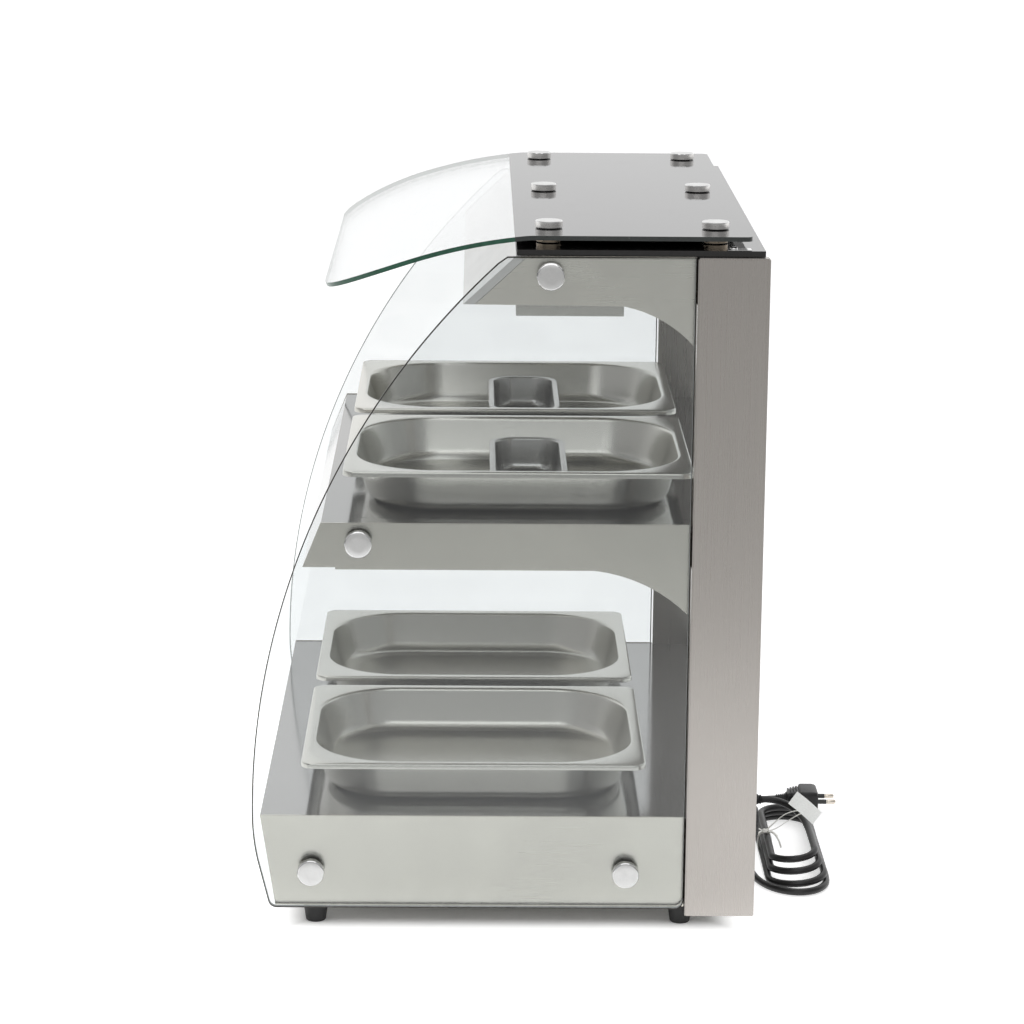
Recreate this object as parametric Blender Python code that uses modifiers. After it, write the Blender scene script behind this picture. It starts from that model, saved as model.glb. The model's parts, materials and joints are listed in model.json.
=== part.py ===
"""Hot food display case: two-level counter unit with an open front, side glasses and a curved top glass.

Blender 4.5, metres, +Z up. X is the width, -Y the customer side, +Y the operator side with the sliding
doors and the controls. The origin is the centre of the footprint, on the surface the feet stand on.
Distances called "back" are measured backwards from the front edge of the base deck.
"""
import math

import bmesh
import bpy
from mathutils import Matrix, Vector

# ---- driving dimensions -------------------------------------------------------------------------
BODY_WIDTH = 0.610          # over the outer faces of the side panels
TOTAL_DEPTH = 0.484         # from the nose of the side glass to the face of the knob
GLASS_NOSE = 0.007          # the side glass stands this far in front of the base deck
SHEET = 0.0012              # steel sheet
GAP = 0.0003                # clearance between neighbouring pieces

BASE_BOTTOM = 0.0250
BASE_TOP = 0.1134
APRON_LEAN = 0.0138         # foot of the base apron, behind its top edge
SHELF_BOTTOM = 0.3525
SHELF_TOP = 0.3945
SHELF_FRONT = 0.0581        # top edge of the shelf apron
SHELF_FRONT_LOW = 0.0412    # bottom edge of the shelf apron
SHELF_REAR = 0.4360
HOOD_BOTTOM = 0.5976
HOOD_TOP = 0.6420
HOOD_FRONT = 0.2351
HOOD_FRONT_LOW = 0.1873

PILLAR_FRONT = 0.3986
PILLAR_DEPTH = 0.0650
PILLAR_THICKNESS = 0.0140
PILLAR_BOTTOM = 0.0185
PILLAR_INNER = 0.2990       # half the clear width between the pillars

GLASS = 0.0050              # side glass
CANOPY_GLASS = 0.0042
SIDE_GLASS_INNER = BODY_WIDTH / 2 + 0.0020
SIDE_GLASS_BOTTOM = 0.0245
SIDE_GLASS_REAR = PILLAR_FRONT - 0.0014

TOP_PLATE_BOTTOM = HOOD_TOP + 0.0004
TOP_PLATE_TOP = TOP_PLATE_BOTTOM + 0.0051
CANOPY_TOP = 0.6604
CANOPY_BOTTOM = CANOPY_TOP - CANOPY_GLASS
CANOPY_HALF_WIDTH = 0.3060
CANOPY_REAR = 0.4475
CANOPY_BEND = 0.2520        # the top glass is flat behind this line
CANOPY_KNEE = (0.1000, math.radians(5.95))      # radius and turn of the first bend
CANOPY_BOW = (0.5056, math.radians(21.74))      # radius and turn from there to the tip
CANOPY_CORNER = 0.0880
STANDOFF_TOP = 0.6675

REAR_PANEL = 0.4590         # inner face of the rear sheets
DOOR_GLASS = 0.0040
DOOR_INNER = 0.4415         # front face of the inner door
DOOR_OUTER = 0.4505         # front face of the outer door
DOOR_BOTTOM = 0.1165
DOOR_TOP = 0.5920
DOOR_OVERLAP = 0.0200

PAN_WIDTH = 0.265           # half-size gastronorm, along X
PAN_LENGTH = 0.325          # along Y
PAN_HEIGHT = 0.0425
PAN_GAP = 0.0295
LOWER_PAN_FRONT = 0.0370
UPPER_PAN_FRONT = 0.0770
CUP_LENGTH = 0.186          # along X
CUP_WIDTH = 0.073
CUP_HEIGHT = 0.0320
CUP_SHIFT = (("left", -0.0030), ("right", 0.0195))

KNOB_X = 0.183
CONTROL_Z = 0.068
SWITCH_X = (0.090, 0.116)   # heat, light
GLAND_X = 0.030
GLAND_Z = 0.0405
GLAND_REAR = 0.4940
CORD_RADIUS = 0.0035

FRONT = -TOTAL_DEPTH / 2 + GLASS_NOSE
HALF = BODY_WIDTH / 2
INNER = HALF - SHEET - GAP  # half width of what fits between the side panels
REAR_HALF = PILLAR_INNER - GAP

STEEL = ((0.56, 0.56, 0.53), 1.0, 0.30)
MIRROR_STEEL = ((0.52, 0.52, 0.51), 1.0, 0.12)
PAN_STEEL = ((0.58, 0.58, 0.56), 1.0, 0.26)
BLACK_GLOSS = ((0.012, 0.012, 0.013), 0.0, 0.06)
CLEAR_GLASS = ((0.80, 0.90, 0.87), 0.0, 0.03)
RUBBER = ((0.02, 0.02, 0.02), 0.0, 0.65)
BLACK_PLASTIC = ((0.03, 0.03, 0.032), 0.0, 0.42)
ALUMINIUM = ((0.66, 0.66, 0.66), 1.0, 0.38)
QUARTZ = ((0.85, 0.82, 0.76), 0.0, 0.15)


# ---- scene and objects ---------------------------------------------------------------------------
def clear_scene():
    for obj in list(bpy.data.objects):
        bpy.data.objects.remove(obj, do_unlink=True)


def new_collection(name):
    group = bpy.data.collections.new(name)
    bpy.context.scene.collection.children.link(group)
    return group


clear_scene()
PARTS = new_collection("hot_food_display_case")
CUTTERS = new_collection("cutters")
GROUPS = {}


def group_empty(name):
    """An empty that gathers the pieces of one assembly."""
    if name not in GROUPS:
        empty = bpy.data.objects.new(name + "_group", None)
        PARTS.objects.link(empty)
        GROUPS[name] = empty
    return GROUPS[name]


def add_part(name, data, finish, group):
    """Put mesh or curve data in the scene as one sub-part with its own material."""
    colour, metallic, roughness = finish
    material = bpy.data.materials.new(name + "_finish")
    material.use_nodes = True
    shader = material.node_tree.nodes["Principled BSDF"]
    shader.inputs["Base Color"].default_value = (*colour, 1.0)
    shader.inputs["Metallic"].default_value = metallic
    shader.inputs["Roughness"].default_value = roughness
    data.materials.append(material)
    obj = bpy.data.objects.new(name, data)
    obj.parent = group_empty(group)
    PARTS.objects.link(obj)
    return obj


def mesh_from(name, build):
    """A mesh made by build(bm)."""
    bm = bmesh.new()
    build(bm)
    mesh = bpy.data.meshes.new(name)
    bm.to_mesh(mesh)
    bm.free()
    return mesh


def box_mesh(name, low, high):
    low, high = Vector(low), Vector(high)
    size = high - low

    def build(bm):
        bmesh.ops.create_cube(bm, size=1.0)
        bmesh.ops.scale(bm, vec=size, verts=bm.verts)
        bmesh.ops.translate(bm, vec=(low + high) / 2, verts=bm.verts)

    return mesh_from(name, build)


def box(name, low, high, finish, group):
    return add_part(name, box_mesh(name, low, high), finish, group)


def cut(obj, cutter):
    """Subtract the cutter, which stays in the cutters collection."""
    CUTTERS.objects.link(cutter)
    cutter.hide_render = True
    cutter.display_type = "WIRE"
    modifier = obj.modifiers.new("cut_" + cutter.name, "BOOLEAN")
    modifier.operation = "DIFFERENCE"
    modifier.solver = "EXACT"
    modifier.object = cutter


def box_cutter(name, boxes):
    """One cutter made of separate boxes, each given as (low, high)."""
    def build(bm):
        for low, high in boxes:
            low, high = Vector(low), Vector(high)
            made = bmesh.ops.create_cube(bm, size=1.0)["verts"]
            bmesh.ops.scale(bm, vec=high - low, verts=made)
            bmesh.ops.translate(bm, vec=(low + high) / 2, verts=made)

    return bpy.data.objects.new(name, mesh_from(name, build))


def hole_cutter(name, centres, radius, low, high, segments=16):
    """Upright round holes at the (x, y) centres, between two heights."""
    def build(bm):
        for x, y in centres:
            made = bmesh.ops.create_cone(bm, cap_ends=True, segments=segments, radius1=radius,
                                         radius2=radius, depth=high - low)["verts"]
            bmesh.ops.translate(bm, vec=(x, y, (low + high) / 2), verts=made)

    return bpy.data.objects.new(name, mesh_from(name, build))


def thicken(obj, thickness, offset=-1.0):
    modifier = obj.modifiers.new("thickness", "SOLIDIFY")
    modifier.thickness = thickness
    modifier.offset = offset
    modifier.use_even_offset = True


def soften(obj, width, segments=1, angle=40.0):
    modifier = obj.modifiers.new("edges", "BEVEL")
    modifier.width = width
    modifier.segments = segments
    modifier.limit_method = "ANGLE"
    modifier.angle_limit = math.radians(angle)


# ---- shapes --------------------------------------------------------------------------------------
def back(distance):
    """World Y of a point that lies this far behind the front edge of the base deck."""
    return FRONT + distance


def circle(centre, radius, count):
    return [(centre[0] + radius * math.cos(math.tau * k / count),
             centre[1] + radius * math.sin(math.tau * k / count)) for k in range(count)]


def arc(centre, radius, start, end, count):
    """Points on an arc, angles in degrees, both ends included."""
    return [(centre[0] + radius * math.cos(math.radians(start + (end - start) * k / count)),
             centre[1] + radius * math.sin(math.radians(start + (end - start) * k / count)))
            for k in range(count + 1)]


def arc_between(first, last, radius, count):
    """Points on the arc that bulges to the right of the way from first to last, seen from +X."""
    first, last = Vector(first), Vector(last)
    chord = last - first
    across = Vector((chord.y, -chord.x)).normalized()
    centre = (first + last) / 2 + across * math.sqrt(radius ** 2 - (chord.length / 2) ** 2)
    start = math.atan2(first.y - centre.y, first.x - centre.x)
    end = math.atan2(last.y - centre.y, last.x - centre.x)
    turn = (end - start + math.pi) % math.tau - math.pi
    return [(centre.x + radius * math.cos(start + turn * k / count),
             centre.y + radius * math.sin(start + turn * k / count)) for k in range(count + 1)]


def flat_plate(name, outlines, thickness, finish, group):
    """A 2D curve filled on both faces: the first outline is the edge, the others are holes."""
    curve = bpy.data.curves.new(name, "CURVE")
    curve.dimensions = "2D"
    curve.fill_mode = "BOTH"
    curve.extrude = thickness / 2
    for outline in outlines:
        spline = curve.splines.new("POLY")
        spline.points.add(len(outline) - 1)
        for point, (u, v) in zip(spline.points, outline):
            point.co = (u, v, 0.0, 1.0)
        spline.use_cyclic_u = True
    return add_part(name, curve, finish, group)


def side_plate(name, outlines, inner_x, side, thickness, finish, group):
    """A plate in the YZ plane; outlines hold (back, z). side is +1 on the right, -1 on the left."""
    plate = flat_plate(name, [[(back(d), z) for d, z in o] for o in outlines], thickness, finish, group)
    plate.rotation_euler = (math.pi / 2, 0.0, math.pi / 2)
    plate.location.x = side * (inner_x + thickness / 2)
    return plate


def level_plate(name, outlines, bottom, thickness, finish, group):
    """A plate in the XY plane; outlines hold (x, back)."""
    plate = flat_plate(name, [[(x, back(d)) for x, d in o] for o in outlines], thickness, finish, group)
    plate.location.z = bottom + thickness / 2
    return plate


def rear_plate(name, outlines, front, thickness, finish, group):
    """A plate in the XZ plane; outlines hold (x, z)."""
    plate = flat_plate(name, outlines, thickness, finish, group)
    plate.rotation_euler = (math.pi / 2, 0.0, 0.0)
    plate.location.y = back(front) + thickness / 2
    return plate


def folded_sheet(name, profile, half_width, finish, group):
    """A sheet that runs across the case; profile holds (back, z) along its outer face, front first."""
    def build(bm):
        rows = [[bm.verts.new((x, back(d), z)) for x in (-half_width, half_width)] for d, z in profile]
        for first, second in zip(rows, rows[1:]):
            bm.faces.new((first[0], first[1], second[1], second[0]))

    sheet = add_part(name, mesh_from(name, build), finish, group)
    thicken(sheet, SHEET)
    return sheet


def lofted_mesh(name, rings):
    """A closed mesh between matching rings of points, with flat ends."""
    def build(bm):
        loops = [[bm.verts.new(p) for p in ring] for ring in rings]
        for first, second in zip(loops, loops[1:]):
            for k, vert in enumerate(first):
                following = (k + 1) % len(first)
                bm.faces.new((vert, first[following], second[following], second[k]))
        bm.faces.new(list(reversed(loops[0])))
        bm.faces.new(loops[-1])
        bmesh.ops.recalc_face_normals(bm, faces=bm.faces)

    return mesh_from(name, build)


def turned(name, profile, finish, group, steps=12):
    """A turned piece about its own Z; profile holds (radius, z) from the top down."""
    def build(bm):
        points = [bm.verts.new((radius, 0.0, z)) for radius, z in profile]
        for first, second in zip(points, points[1:]):
            bm.edges.new((first, second))

    mesh = mesh_from(name, build)
    obj = add_part(name, mesh, finish, group)
    screw = obj.modifiers.new("turn", "SCREW")
    screw.axis = "Z"
    screw.steps = steps
    screw.render_steps = steps
    screw.use_merge_vertices = True
    screw.merge_threshold = 0.00005
    screw.use_smooth_shade = True
    return obj


def smooth(obj, angle=35.0):
    obj.data.shade_smooth()
    obj.data.set_sharp_from_angle(angle=math.radians(angle))


def tube(name, points, radius, sides, finish, group):
    """A round tube along points; sides is the curve's bevel resolution."""
    curve = bpy.data.curves.new(name, "CURVE")
    curve.dimensions = "3D"
    curve.bevel_depth = radius
    curve.bevel_resolution = sides
    curve.use_fill_caps = True
    spline = curve.splines.new("POLY")
    spline.points.add(len(points) - 1)
    for point, place in zip(spline.points, points):
        point.co = (*place, 1.0)
    return add_part(name, curve, finish, group)


def smooth_route(route, spacing):
    """Points at an even spacing along a Catmull-Rom curve through the route's points."""
    route = [Vector(p) for p in route]
    ends = [route[0] * 2 - route[1]] + route + [route[-1] * 2 - route[-2]]
    fine = []
    for before, first, second, after in zip(ends, ends[1:], ends[2:], ends[3:]):
        for k in range(24):
            t = k / 24
            fine.append(0.5 * (2 * first + (second - before) * t
                               + (2 * before - 5 * first + 4 * second - after) * t ** 2
                               + (3 * first - before - 3 * second + after) * t ** 3))
    fine.append(route[-1])
    length = sum((b - a).length for a, b in zip(fine, fine[1:]))
    count = max(2, round(length / spacing))
    points, walked, target = [fine[0]], 0.0, length / count
    for a, b in zip(fine, fine[1:]):
        step = (b - a).length
        while step and walked + step >= target * len(points) - 1e-9 and len(points) < count:
            points.append(a.lerp(b, (target * len(points) - walked) / step))
        walked += step
    return points + [fine[-1]]


def rounded_path(corners, radius, count=4):
    """A polyline through corners whose bends are arcs of the given radius."""
    corners = [Vector(c) for c in corners]
    path = [corners[0]]
    for before, corner, after in zip(corners, corners[1:], corners[2:]):
        inward, outward = (before - corner).normalized(), (after - corner).normalized()
        half = inward.angle(outward) / 2
        centre = corner + (inward + outward).normalized() * radius / math.sin(half)
        first = corner + inward * radius / math.tan(half) - centre
        last = corner + outward * radius / math.tan(half) - centre
        path += [centre + first.slerp(last, k / count) * first.length for k in range(count + 1)]
    return path + [corners[-1]]


def rounded_ring(half_x, half_y, radius, z, count):
    """A closed ring of points: a rectangle with round corners, anticlockwise from +X."""
    ring = []
    for quarter, (sx, sy) in enumerate(((1, 1), (-1, 1), (-1, -1), (1, -1))):
        centre = (sx * (half_x - radius), sy * (half_y - radius))
        ring += [(u, v, z) for u, v in arc(centre, radius, quarter * 90, quarter * 90 + 90, count)]
    return ring


def pressed_tray(name, rings, thickness, finish, group, count):
    """A pressed tray: rings of (half_x, half_y, corner radius, z) from the lip to the floor."""
    def build(bm):
        loops = [[bm.verts.new(p) for p in rounded_ring(*ring, count)] for ring in rings]
        for outer, inner in zip(loops, loops[1:]):
            for k, vert in enumerate(outer):
                following = (k + 1) % len(outer)
                bm.faces.new((vert, outer[following], inner[following], inner[k]))
        bm.faces.new(loops[-1])

    tray = add_part(name, mesh_from(name, build), finish, group)
    thicken(tray, thickness)
    smooth(tray, 50.0)
    return tray


# ---- base ----------------------------------------------------------------------------------------
SIDE_FIXINGS = ((0.2661, 0.6252), (0.0929, 0.3771), (0.0478, 0.0608), (0.3422, 0.0600))
FIXING_NAMES = ("hood", "shelf", "base_front", "base_rear")
STUD_HOLE = 0.0033
FEET = ((0.0505, "front"), (0.3965, "rear"))
FOOT_X = 0.275


def pillar_notches(name, low, high):
    """Two blocks that clear the pillars out of a sheet, between two heights."""
    reach = HALF + 0.02
    return box_cutter(name, [
        ((side * REAR_HALF if side > 0 else -reach, back(PILLAR_FRONT - GAP), low),
         (reach if side > 0 else -REAR_HALF, back(0.5), high)) for side in (-1, 1)])


def build_base():
    front_low = APRON_LEAN
    outline = [(0.0, BASE_TOP), (front_low, BASE_BOTTOM), (PILLAR_FRONT - 0.001, BASE_BOTTOM),
               (PILLAR_FRONT - 0.001, BASE_TOP)]
    holes = [circle(place, STUD_HOLE, 10) for place in SIDE_FIXINGS[2:]]
    for side, word in ((-1, "left"), (1, "right")):
        side_plate("base_side_panel_" + word, [outline] + holes, HALF - SHEET, side, SHEET, STEEL, "base")

    deck_top = BASE_TOP - 0.0006
    deck = folded_sheet("base_deck", [(front_low + 0.0002, BASE_BOTTOM + GAP), (0.0002, deck_top),
                                      (REAR_PANEL - GAP, deck_top)], INNER, MIRROR_STEEL, "base")
    cut(deck, pillar_notches("base_deck_notches", BASE_TOP - 0.01, BASE_TOP + 0.01))

    notch = PILLAR_FRONT - GAP
    floor_front = front_low + 0.0020
    outline = [(-INNER, floor_front), (INNER, floor_front), (INNER, notch), (REAR_HALF, notch),
               (REAR_HALF, REAR_PANEL - GAP), (-REAR_HALF, REAR_PANEL - GAP), (-REAR_HALF, notch),
               (-INNER, notch)]
    holes = [circle((x, d), STUD_HOLE, 10) for x in (-FOOT_X, FOOT_X) for d, _ in FEET]
    level_plate("base_bottom_plate", [outline] + holes, BASE_BOTTOM + GAP, SHEET, STEEL, "base")

    top = BASE_BOTTOM
    profile = [(0.0, top + 0.010), (0.0030, top + 0.010), (0.0030, top), (0.0120, top),
               (0.0125, top - 0.004), (0.0105, 0.0012), (0.0095, 0.0), (0.0, 0.0)]
    for side, word in ((-1, "left"), (1, "right")):
        for d, place in FEET:
            foot = turned("foot_%s_%s" % (place, word), profile, RUBBER, "base", 16)
            foot.location = (side * FOOT_X, back(d), 0.0)

    radius = 0.00325
    height = deck_top - SHEET - GAP - radius
    loop = [(-0.040, 0.425), (-0.040, 0.350), (-0.250, 0.350), (-0.250, 0.070), (0.250, 0.070),
            (0.250, 0.350), (0.040, 0.350), (0.040, 0.425)]
    path = rounded_path([(x, back(d), height) for x, d in loop], 0.025)
    tube("base_heating_element", path, radius, 1, STEEL, "base")


# ---- mid shelf -----------------------------------------------------------------------------------
SLOT_COUNT = 14
SLOT_FIRST = 0.0936
SLOT_PITCH = 0.0227
SLOT_LENGTH = 0.014
SLOT_WIDTH = 0.0016
SLOT_X = 0.282
SHELF_STEP = 0.0712         # the shelf's lower edge drops by a fold here


def build_shelf():
    low = SHELF_BOTTOM - 0.0020
    curve = arc_between((0.3099, low), (PILLAR_FRONT - 0.001, 0.3075), 0.147, 8)
    outline = [(SHELF_FRONT, SHELF_TOP), (SHELF_FRONT_LOW, SHELF_BOTTOM), (SHELF_STEP, SHELF_BOTTOM),
               (SHELF_STEP, low)] + curve + [(PILLAR_FRONT - 0.001, SHELF_TOP)]
    hole = circle(SIDE_FIXINGS[1], STUD_HOLE, 10)
    for side, word in ((-1, "left"), (1, "right")):
        side_plate("shelf_side_panel_" + word, [outline, hole], HALF - SHEET, side, SHEET, STEEL, "shelf")

    top = SHELF_TOP - 0.0006
    deck = folded_sheet("shelf_deck", [
        (SHELF_FRONT_LOW + 0.0002, SHELF_BOTTOM + GAP), (SHELF_FRONT + 0.0002, top),
        (SHELF_REAR, top), (SHELF_REAR, SHELF_BOTTOM + GAP)], INNER, MIRROR_STEEL, "shelf")
    cut(deck, pillar_notches("shelf_deck_notches", SHELF_BOTTOM - 0.01, SHELF_TOP + 0.01))
    slots = []
    for side in (-1, 1):
        for k in range(SLOT_COUNT):
            middle = back(SLOT_FIRST + SLOT_PITCH * k)
            slots.append(((side * SLOT_X - SLOT_WIDTH / 2, middle - SLOT_LENGTH / 2, top - 0.005),
                          (side * SLOT_X + SLOT_WIDTH / 2, middle + SLOT_LENGTH / 2, top + 0.005)))
    cut(deck, box_cutter("shelf_slots", slots))

    notch = PILLAR_FRONT - GAP
    rear = SHELF_REAR - SHEET - GAP
    outline = [(-INNER, SHELF_FRONT_LOW + 0.003), (INNER, SHELF_FRONT_LOW + 0.003), (INNER, notch),
               (REAR_HALF, notch), (REAR_HALF, rear), (-REAR_HALF, rear), (-REAR_HALF, notch),
               (-INNER, notch)]
    level_plate("shelf_bottom_plate", [outline], SHELF_BOTTOM + GAP, SHEET, STEEL, "shelf")

    radius = 0.00325
    height = top - SHEET - GAP - radius
    loop = [(-0.040, 0.415), (-0.040, 0.350), (-0.240, 0.350), (-0.240, 0.100), (0.240, 0.100),
            (0.240, 0.350), (0.040, 0.350), (0.040, 0.415)]
    path = rounded_path([(x, back(d), height) for x, d in loop], 0.025)
    tube("shelf_heating_element", path, radius, 1, STEEL, "shelf")


# ---- hood ----------------------------------------------------------------------------------------
RETURN_WIDTH = 0.0110       # side return of the hood front, measured along Y
LAMP_FRONT = 0.2354
LAMP_REAR = 0.3335
LAMP_HALF = 0.2850
LAMP_BOTTOM = 0.5840
LAMP_TOP = 0.6180


def build_hood():
    curve = arc_between((0.3334, HOOD_BOTTOM - 0.0012), (PILLAR_FRONT - 0.001, 0.5590), 0.115, 8)
    outline = [(HOOD_FRONT + RETURN_WIDTH, HOOD_TOP), (HOOD_FRONT_LOW + RETURN_WIDTH, HOOD_BOTTOM)]
    outline += curve + [(PILLAR_FRONT - 0.001, HOOD_TOP)]
    hole = circle(SIDE_FIXINGS[0], STUD_HOLE, 10)
    for side, word in ((-1, "left"), (1, "right")):
        side_plate("hood_side_panel_" + word, [outline, hole], HALF - SHEET, side, SHEET, STEEL, "hood")

    rise, run = HOOD_TOP - HOOD_BOTTOM, HOOD_FRONT - HOOD_FRONT_LOW
    slant = math.hypot(rise, run) / rise
    edge, wall, inner = RETURN_WIDTH - GAP * slant, SHEET * slant, HALF - SHEET
    section = [(-HALF, edge), (-HALF, 0.0), (HALF, 0.0), (HALF, edge),
               (inner, edge), (inner, wall), (-inner, wall), (-inner, edge)]
    rings = [[(x, back(d + inset), z) for x, inset in section]
             for d, z in ((HOOD_FRONT_LOW, HOOD_BOTTOM), (HOOD_FRONT, HOOD_TOP))]
    add_part("hood_front_panel", lofted_mesh("hood_front_panel", rings), STEEL, "hood")

    rear = REAR_PANEL + SHEET
    plate = folded_sheet("hood_bottom_plate", [
        (rear, HOOD_TOP - 0.0004), (rear, HOOD_BOTTOM + GAP), (HOOD_FRONT_LOW + 0.0038, HOOD_BOTTOM + GAP)],
        INNER, STEEL, "hood")
    cut(plate, pillar_notches("hood_plate_notches", HOOD_BOTTOM - 0.01, HOOD_TOP + 0.01))
    cut(plate, box_cutter("lamp_aperture", [
        ((-LAMP_HALF - GAP, back(LAMP_FRONT - GAP), HOOD_BOTTOM - 0.01),
         (LAMP_HALF + GAP, back(LAMP_REAR + GAP), HOOD_BOTTOM + 0.01))]))

    mesh = box_mesh("lamp_reflector", (-LAMP_HALF, back(LAMP_FRONT), LAMP_BOTTOM),
                    (LAMP_HALF, back(LAMP_REAR), LAMP_TOP))
    bm = bmesh.new()
    bm.from_mesh(mesh)
    bmesh.ops.delete(bm, geom=[f for f in bm.faces if f.normal.z < -0.5], context="FACES_ONLY")
    bm.to_mesh(mesh)
    bm.free()
    reflector = add_part("lamp_reflector", mesh, STEEL, "hood")
    thicken(reflector, 0.0010)

    half = LAMP_HALF - 0.0010 - GAP
    cap, body = 0.0070, 0.0055
    profile = [(0.0, half), (cap, half), (cap, half - 0.018), (body, half - 0.019), (body, -half + 0.019),
               (cap, -half + 0.018), (cap, -half), (0.0, -half)]
    lamp = turned("halogen_lamp", profile, QUARTZ, "hood", 12)
    lamp.rotation_euler.y = math.pi / 2
    lamp.location = (0.0, back((LAMP_FRONT + LAMP_REAR) / 2), (LAMP_BOTTOM + LAMP_TOP) / 2)


# ---- top -----------------------------------------------------------------------------------------
STANDOFF_X = (-0.255, 0.0, 0.255)
STANDOFF_BACK = ((0.2652, "front"), (0.4172, "rear"))
SHAFT = 0.0050
SHAFT_HOLE = SHAFT + GAP
CAP_RADIUS = 0.0125


def canopy_rows():
    """(distance from the rear edge, half width) down the top glass, with its round corners."""
    flat = CANOPY_REAR - CANOPY_BEND
    knee = flat + CANOPY_KNEE[0] * CANOPY_KNEE[1]
    length = knee + CANOPY_BOW[0] * CANOPY_BOW[1]
    rear_corner = 0.006
    rows = [(rear_corner * (1 - math.cos(math.radians(a))), CANOPY_HALF_WIDTH - rear_corner
             * (1 - math.sin(math.radians(a)))) for a in (0, 45, 90)]
    rows += [(flat + (knee - flat) * k / 2, CANOPY_HALF_WIDTH) for k in range(3)]
    bend = length - CANOPY_CORNER - knee
    rows += [(knee + bend * k / 6, CANOPY_HALF_WIDTH) for k in range(1, 7)]
    for k in range(1, 11):
        turn = math.radians(9 * k)
        rows.append((length - CANOPY_CORNER * (1 - math.sin(turn)),
                     CANOPY_HALF_WIDTH - CANOPY_CORNER * (1 - math.cos(turn))))
    return rows


def canopy_place(distance):
    """(back, z) on the upper face of the top glass, this far from its rear edge."""
    flat = CANOPY_REAR - CANOPY_BEND
    if distance <= flat:
        return CANOPY_REAR - distance, CANOPY_TOP
    place, heading = Vector((CANOPY_BEND, CANOPY_TOP)), 0.0
    left = distance - flat
    for radius, turn in (CANOPY_KNEE, CANOPY_BOW):
        step = min(left / radius, turn)
        place.x -= radius * (math.sin(heading + step) - math.sin(heading))
        place.y -= radius * (math.cos(heading) - math.cos(heading + step))
        heading += step
        left -= step * radius
    return place.x, place.y


def build_top():
    edge = HALF - 0.0005
    outline = [(-edge, HOOD_FRONT + 0.0005), (edge, HOOD_FRONT + 0.0005), (edge, 0.4595), (-edge, 0.4595)]
    holes = [circle((x, d), STUD_HOLE, 10) for x in STANDOFF_X for d, _ in STANDOFF_BACK]
    thickness = TOP_PLATE_TOP - TOP_PLATE_BOTTOM
    level_plate("top_plate", [outline] + holes, TOP_PLATE_BOTTOM, thickness, BLACK_GLOSS, "top")

    def build(bm):
        rows = []
        for distance, half in canopy_rows():
            d, z = canopy_place(distance)
            rows.append([bm.verts.new((x, back(d), z)) for x in (half, -half)])
        for first, second in zip(rows, rows[1:]):
            bm.faces.new((first[0], first[1], second[1], second[0]))

    canopy = add_part("canopy_glass", mesh_from("canopy_glass", build), CLEAR_GLASS, "top")
    thicken(canopy, CANOPY_GLASS)
    centres = [(x, back(d)) for x in STANDOFF_X for d, _ in STANDOFF_BACK]
    cut(canopy, hole_cutter("canopy_holes", centres, SHAFT_HOLE, CANOPY_BOTTOM - 0.01, CANOPY_TOP + 0.01))

    nut = 0.0050
    profile = [(0.0, STANDOFF_TOP), (CAP_RADIUS - 0.001, STANDOFF_TOP), (CAP_RADIUS, STANDOFF_TOP - 0.001),
               (CAP_RADIUS, CANOPY_TOP + GAP), (SHAFT, CANOPY_TOP + GAP), (SHAFT, CANOPY_BOTTOM - GAP),
               (CAP_RADIUS - 0.001, CANOPY_BOTTOM - GAP), (CAP_RADIUS - 0.001, TOP_PLATE_TOP + GAP),
               (0.0030, TOP_PLATE_TOP + GAP), (0.0030, TOP_PLATE_BOTTOM - GAP),
               (nut, TOP_PLATE_BOTTOM - GAP), (nut, TOP_PLATE_BOTTOM - 0.0045),
               (0.0, TOP_PLATE_BOTTOM - 0.0045)]
    for x, word in zip(STANDOFF_X, ("left", "middle", "right")):
        for d, place in STANDOFF_BACK:
            standoff = turned("canopy_standoff_%s_%s" % (place, word), profile, ALUMINIUM, "top")
            standoff.location = (x, back(d), 0.0)


# ---- pillars and side glass ----------------------------------------------------------------------
NOSE_Z = 0.1200             # height of the foremost point of the side glass
BOW_RADIUS = 0.7120
TUCK_RADIUS = 0.2160
TUCK_ANGLE = 12.0


def side_glass_outline():
    """(back, z) round the side glass: a long bow, a tuck to the foot, and small round corners."""
    top = HOOD_TOP
    nose = -GLASS_NOSE
    bow_centre = (nose + BOW_RADIUS, NOSE_Z - 0.004)
    start = 180 - math.degrees(math.asin((top - 0.006 - bow_centre[1]) / BOW_RADIUS))
    bow = arc(bow_centre, BOW_RADIUS, start, 180, 22)
    tuck = arc((nose + TUCK_RADIUS, bow_centre[1]), TUCK_RADIUS, 180, 180 + TUCK_ANGLE, 4)[1:]
    lean = math.tan(math.radians(TUCK_ANGLE))
    foot_front = tuck[-1][0] + (tuck[-1][1] - SIDE_GLASS_BOTTOM) * lean
    corner = 0.008
    foot = arc((foot_front + corner * 0.98, SIDE_GLASS_BOTTOM + corner), corner, 192, 270, 4)
    heel = arc((SIDE_GLASS_REAR - corner, SIDE_GLASS_BOTTOM + corner), corner, 270, 360, 4)
    brow_back = bow[0][0] + 0.0085
    return bow + tuck + foot + heel + [(SIDE_GLASS_REAR, top), (brow_back, top)]


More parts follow.
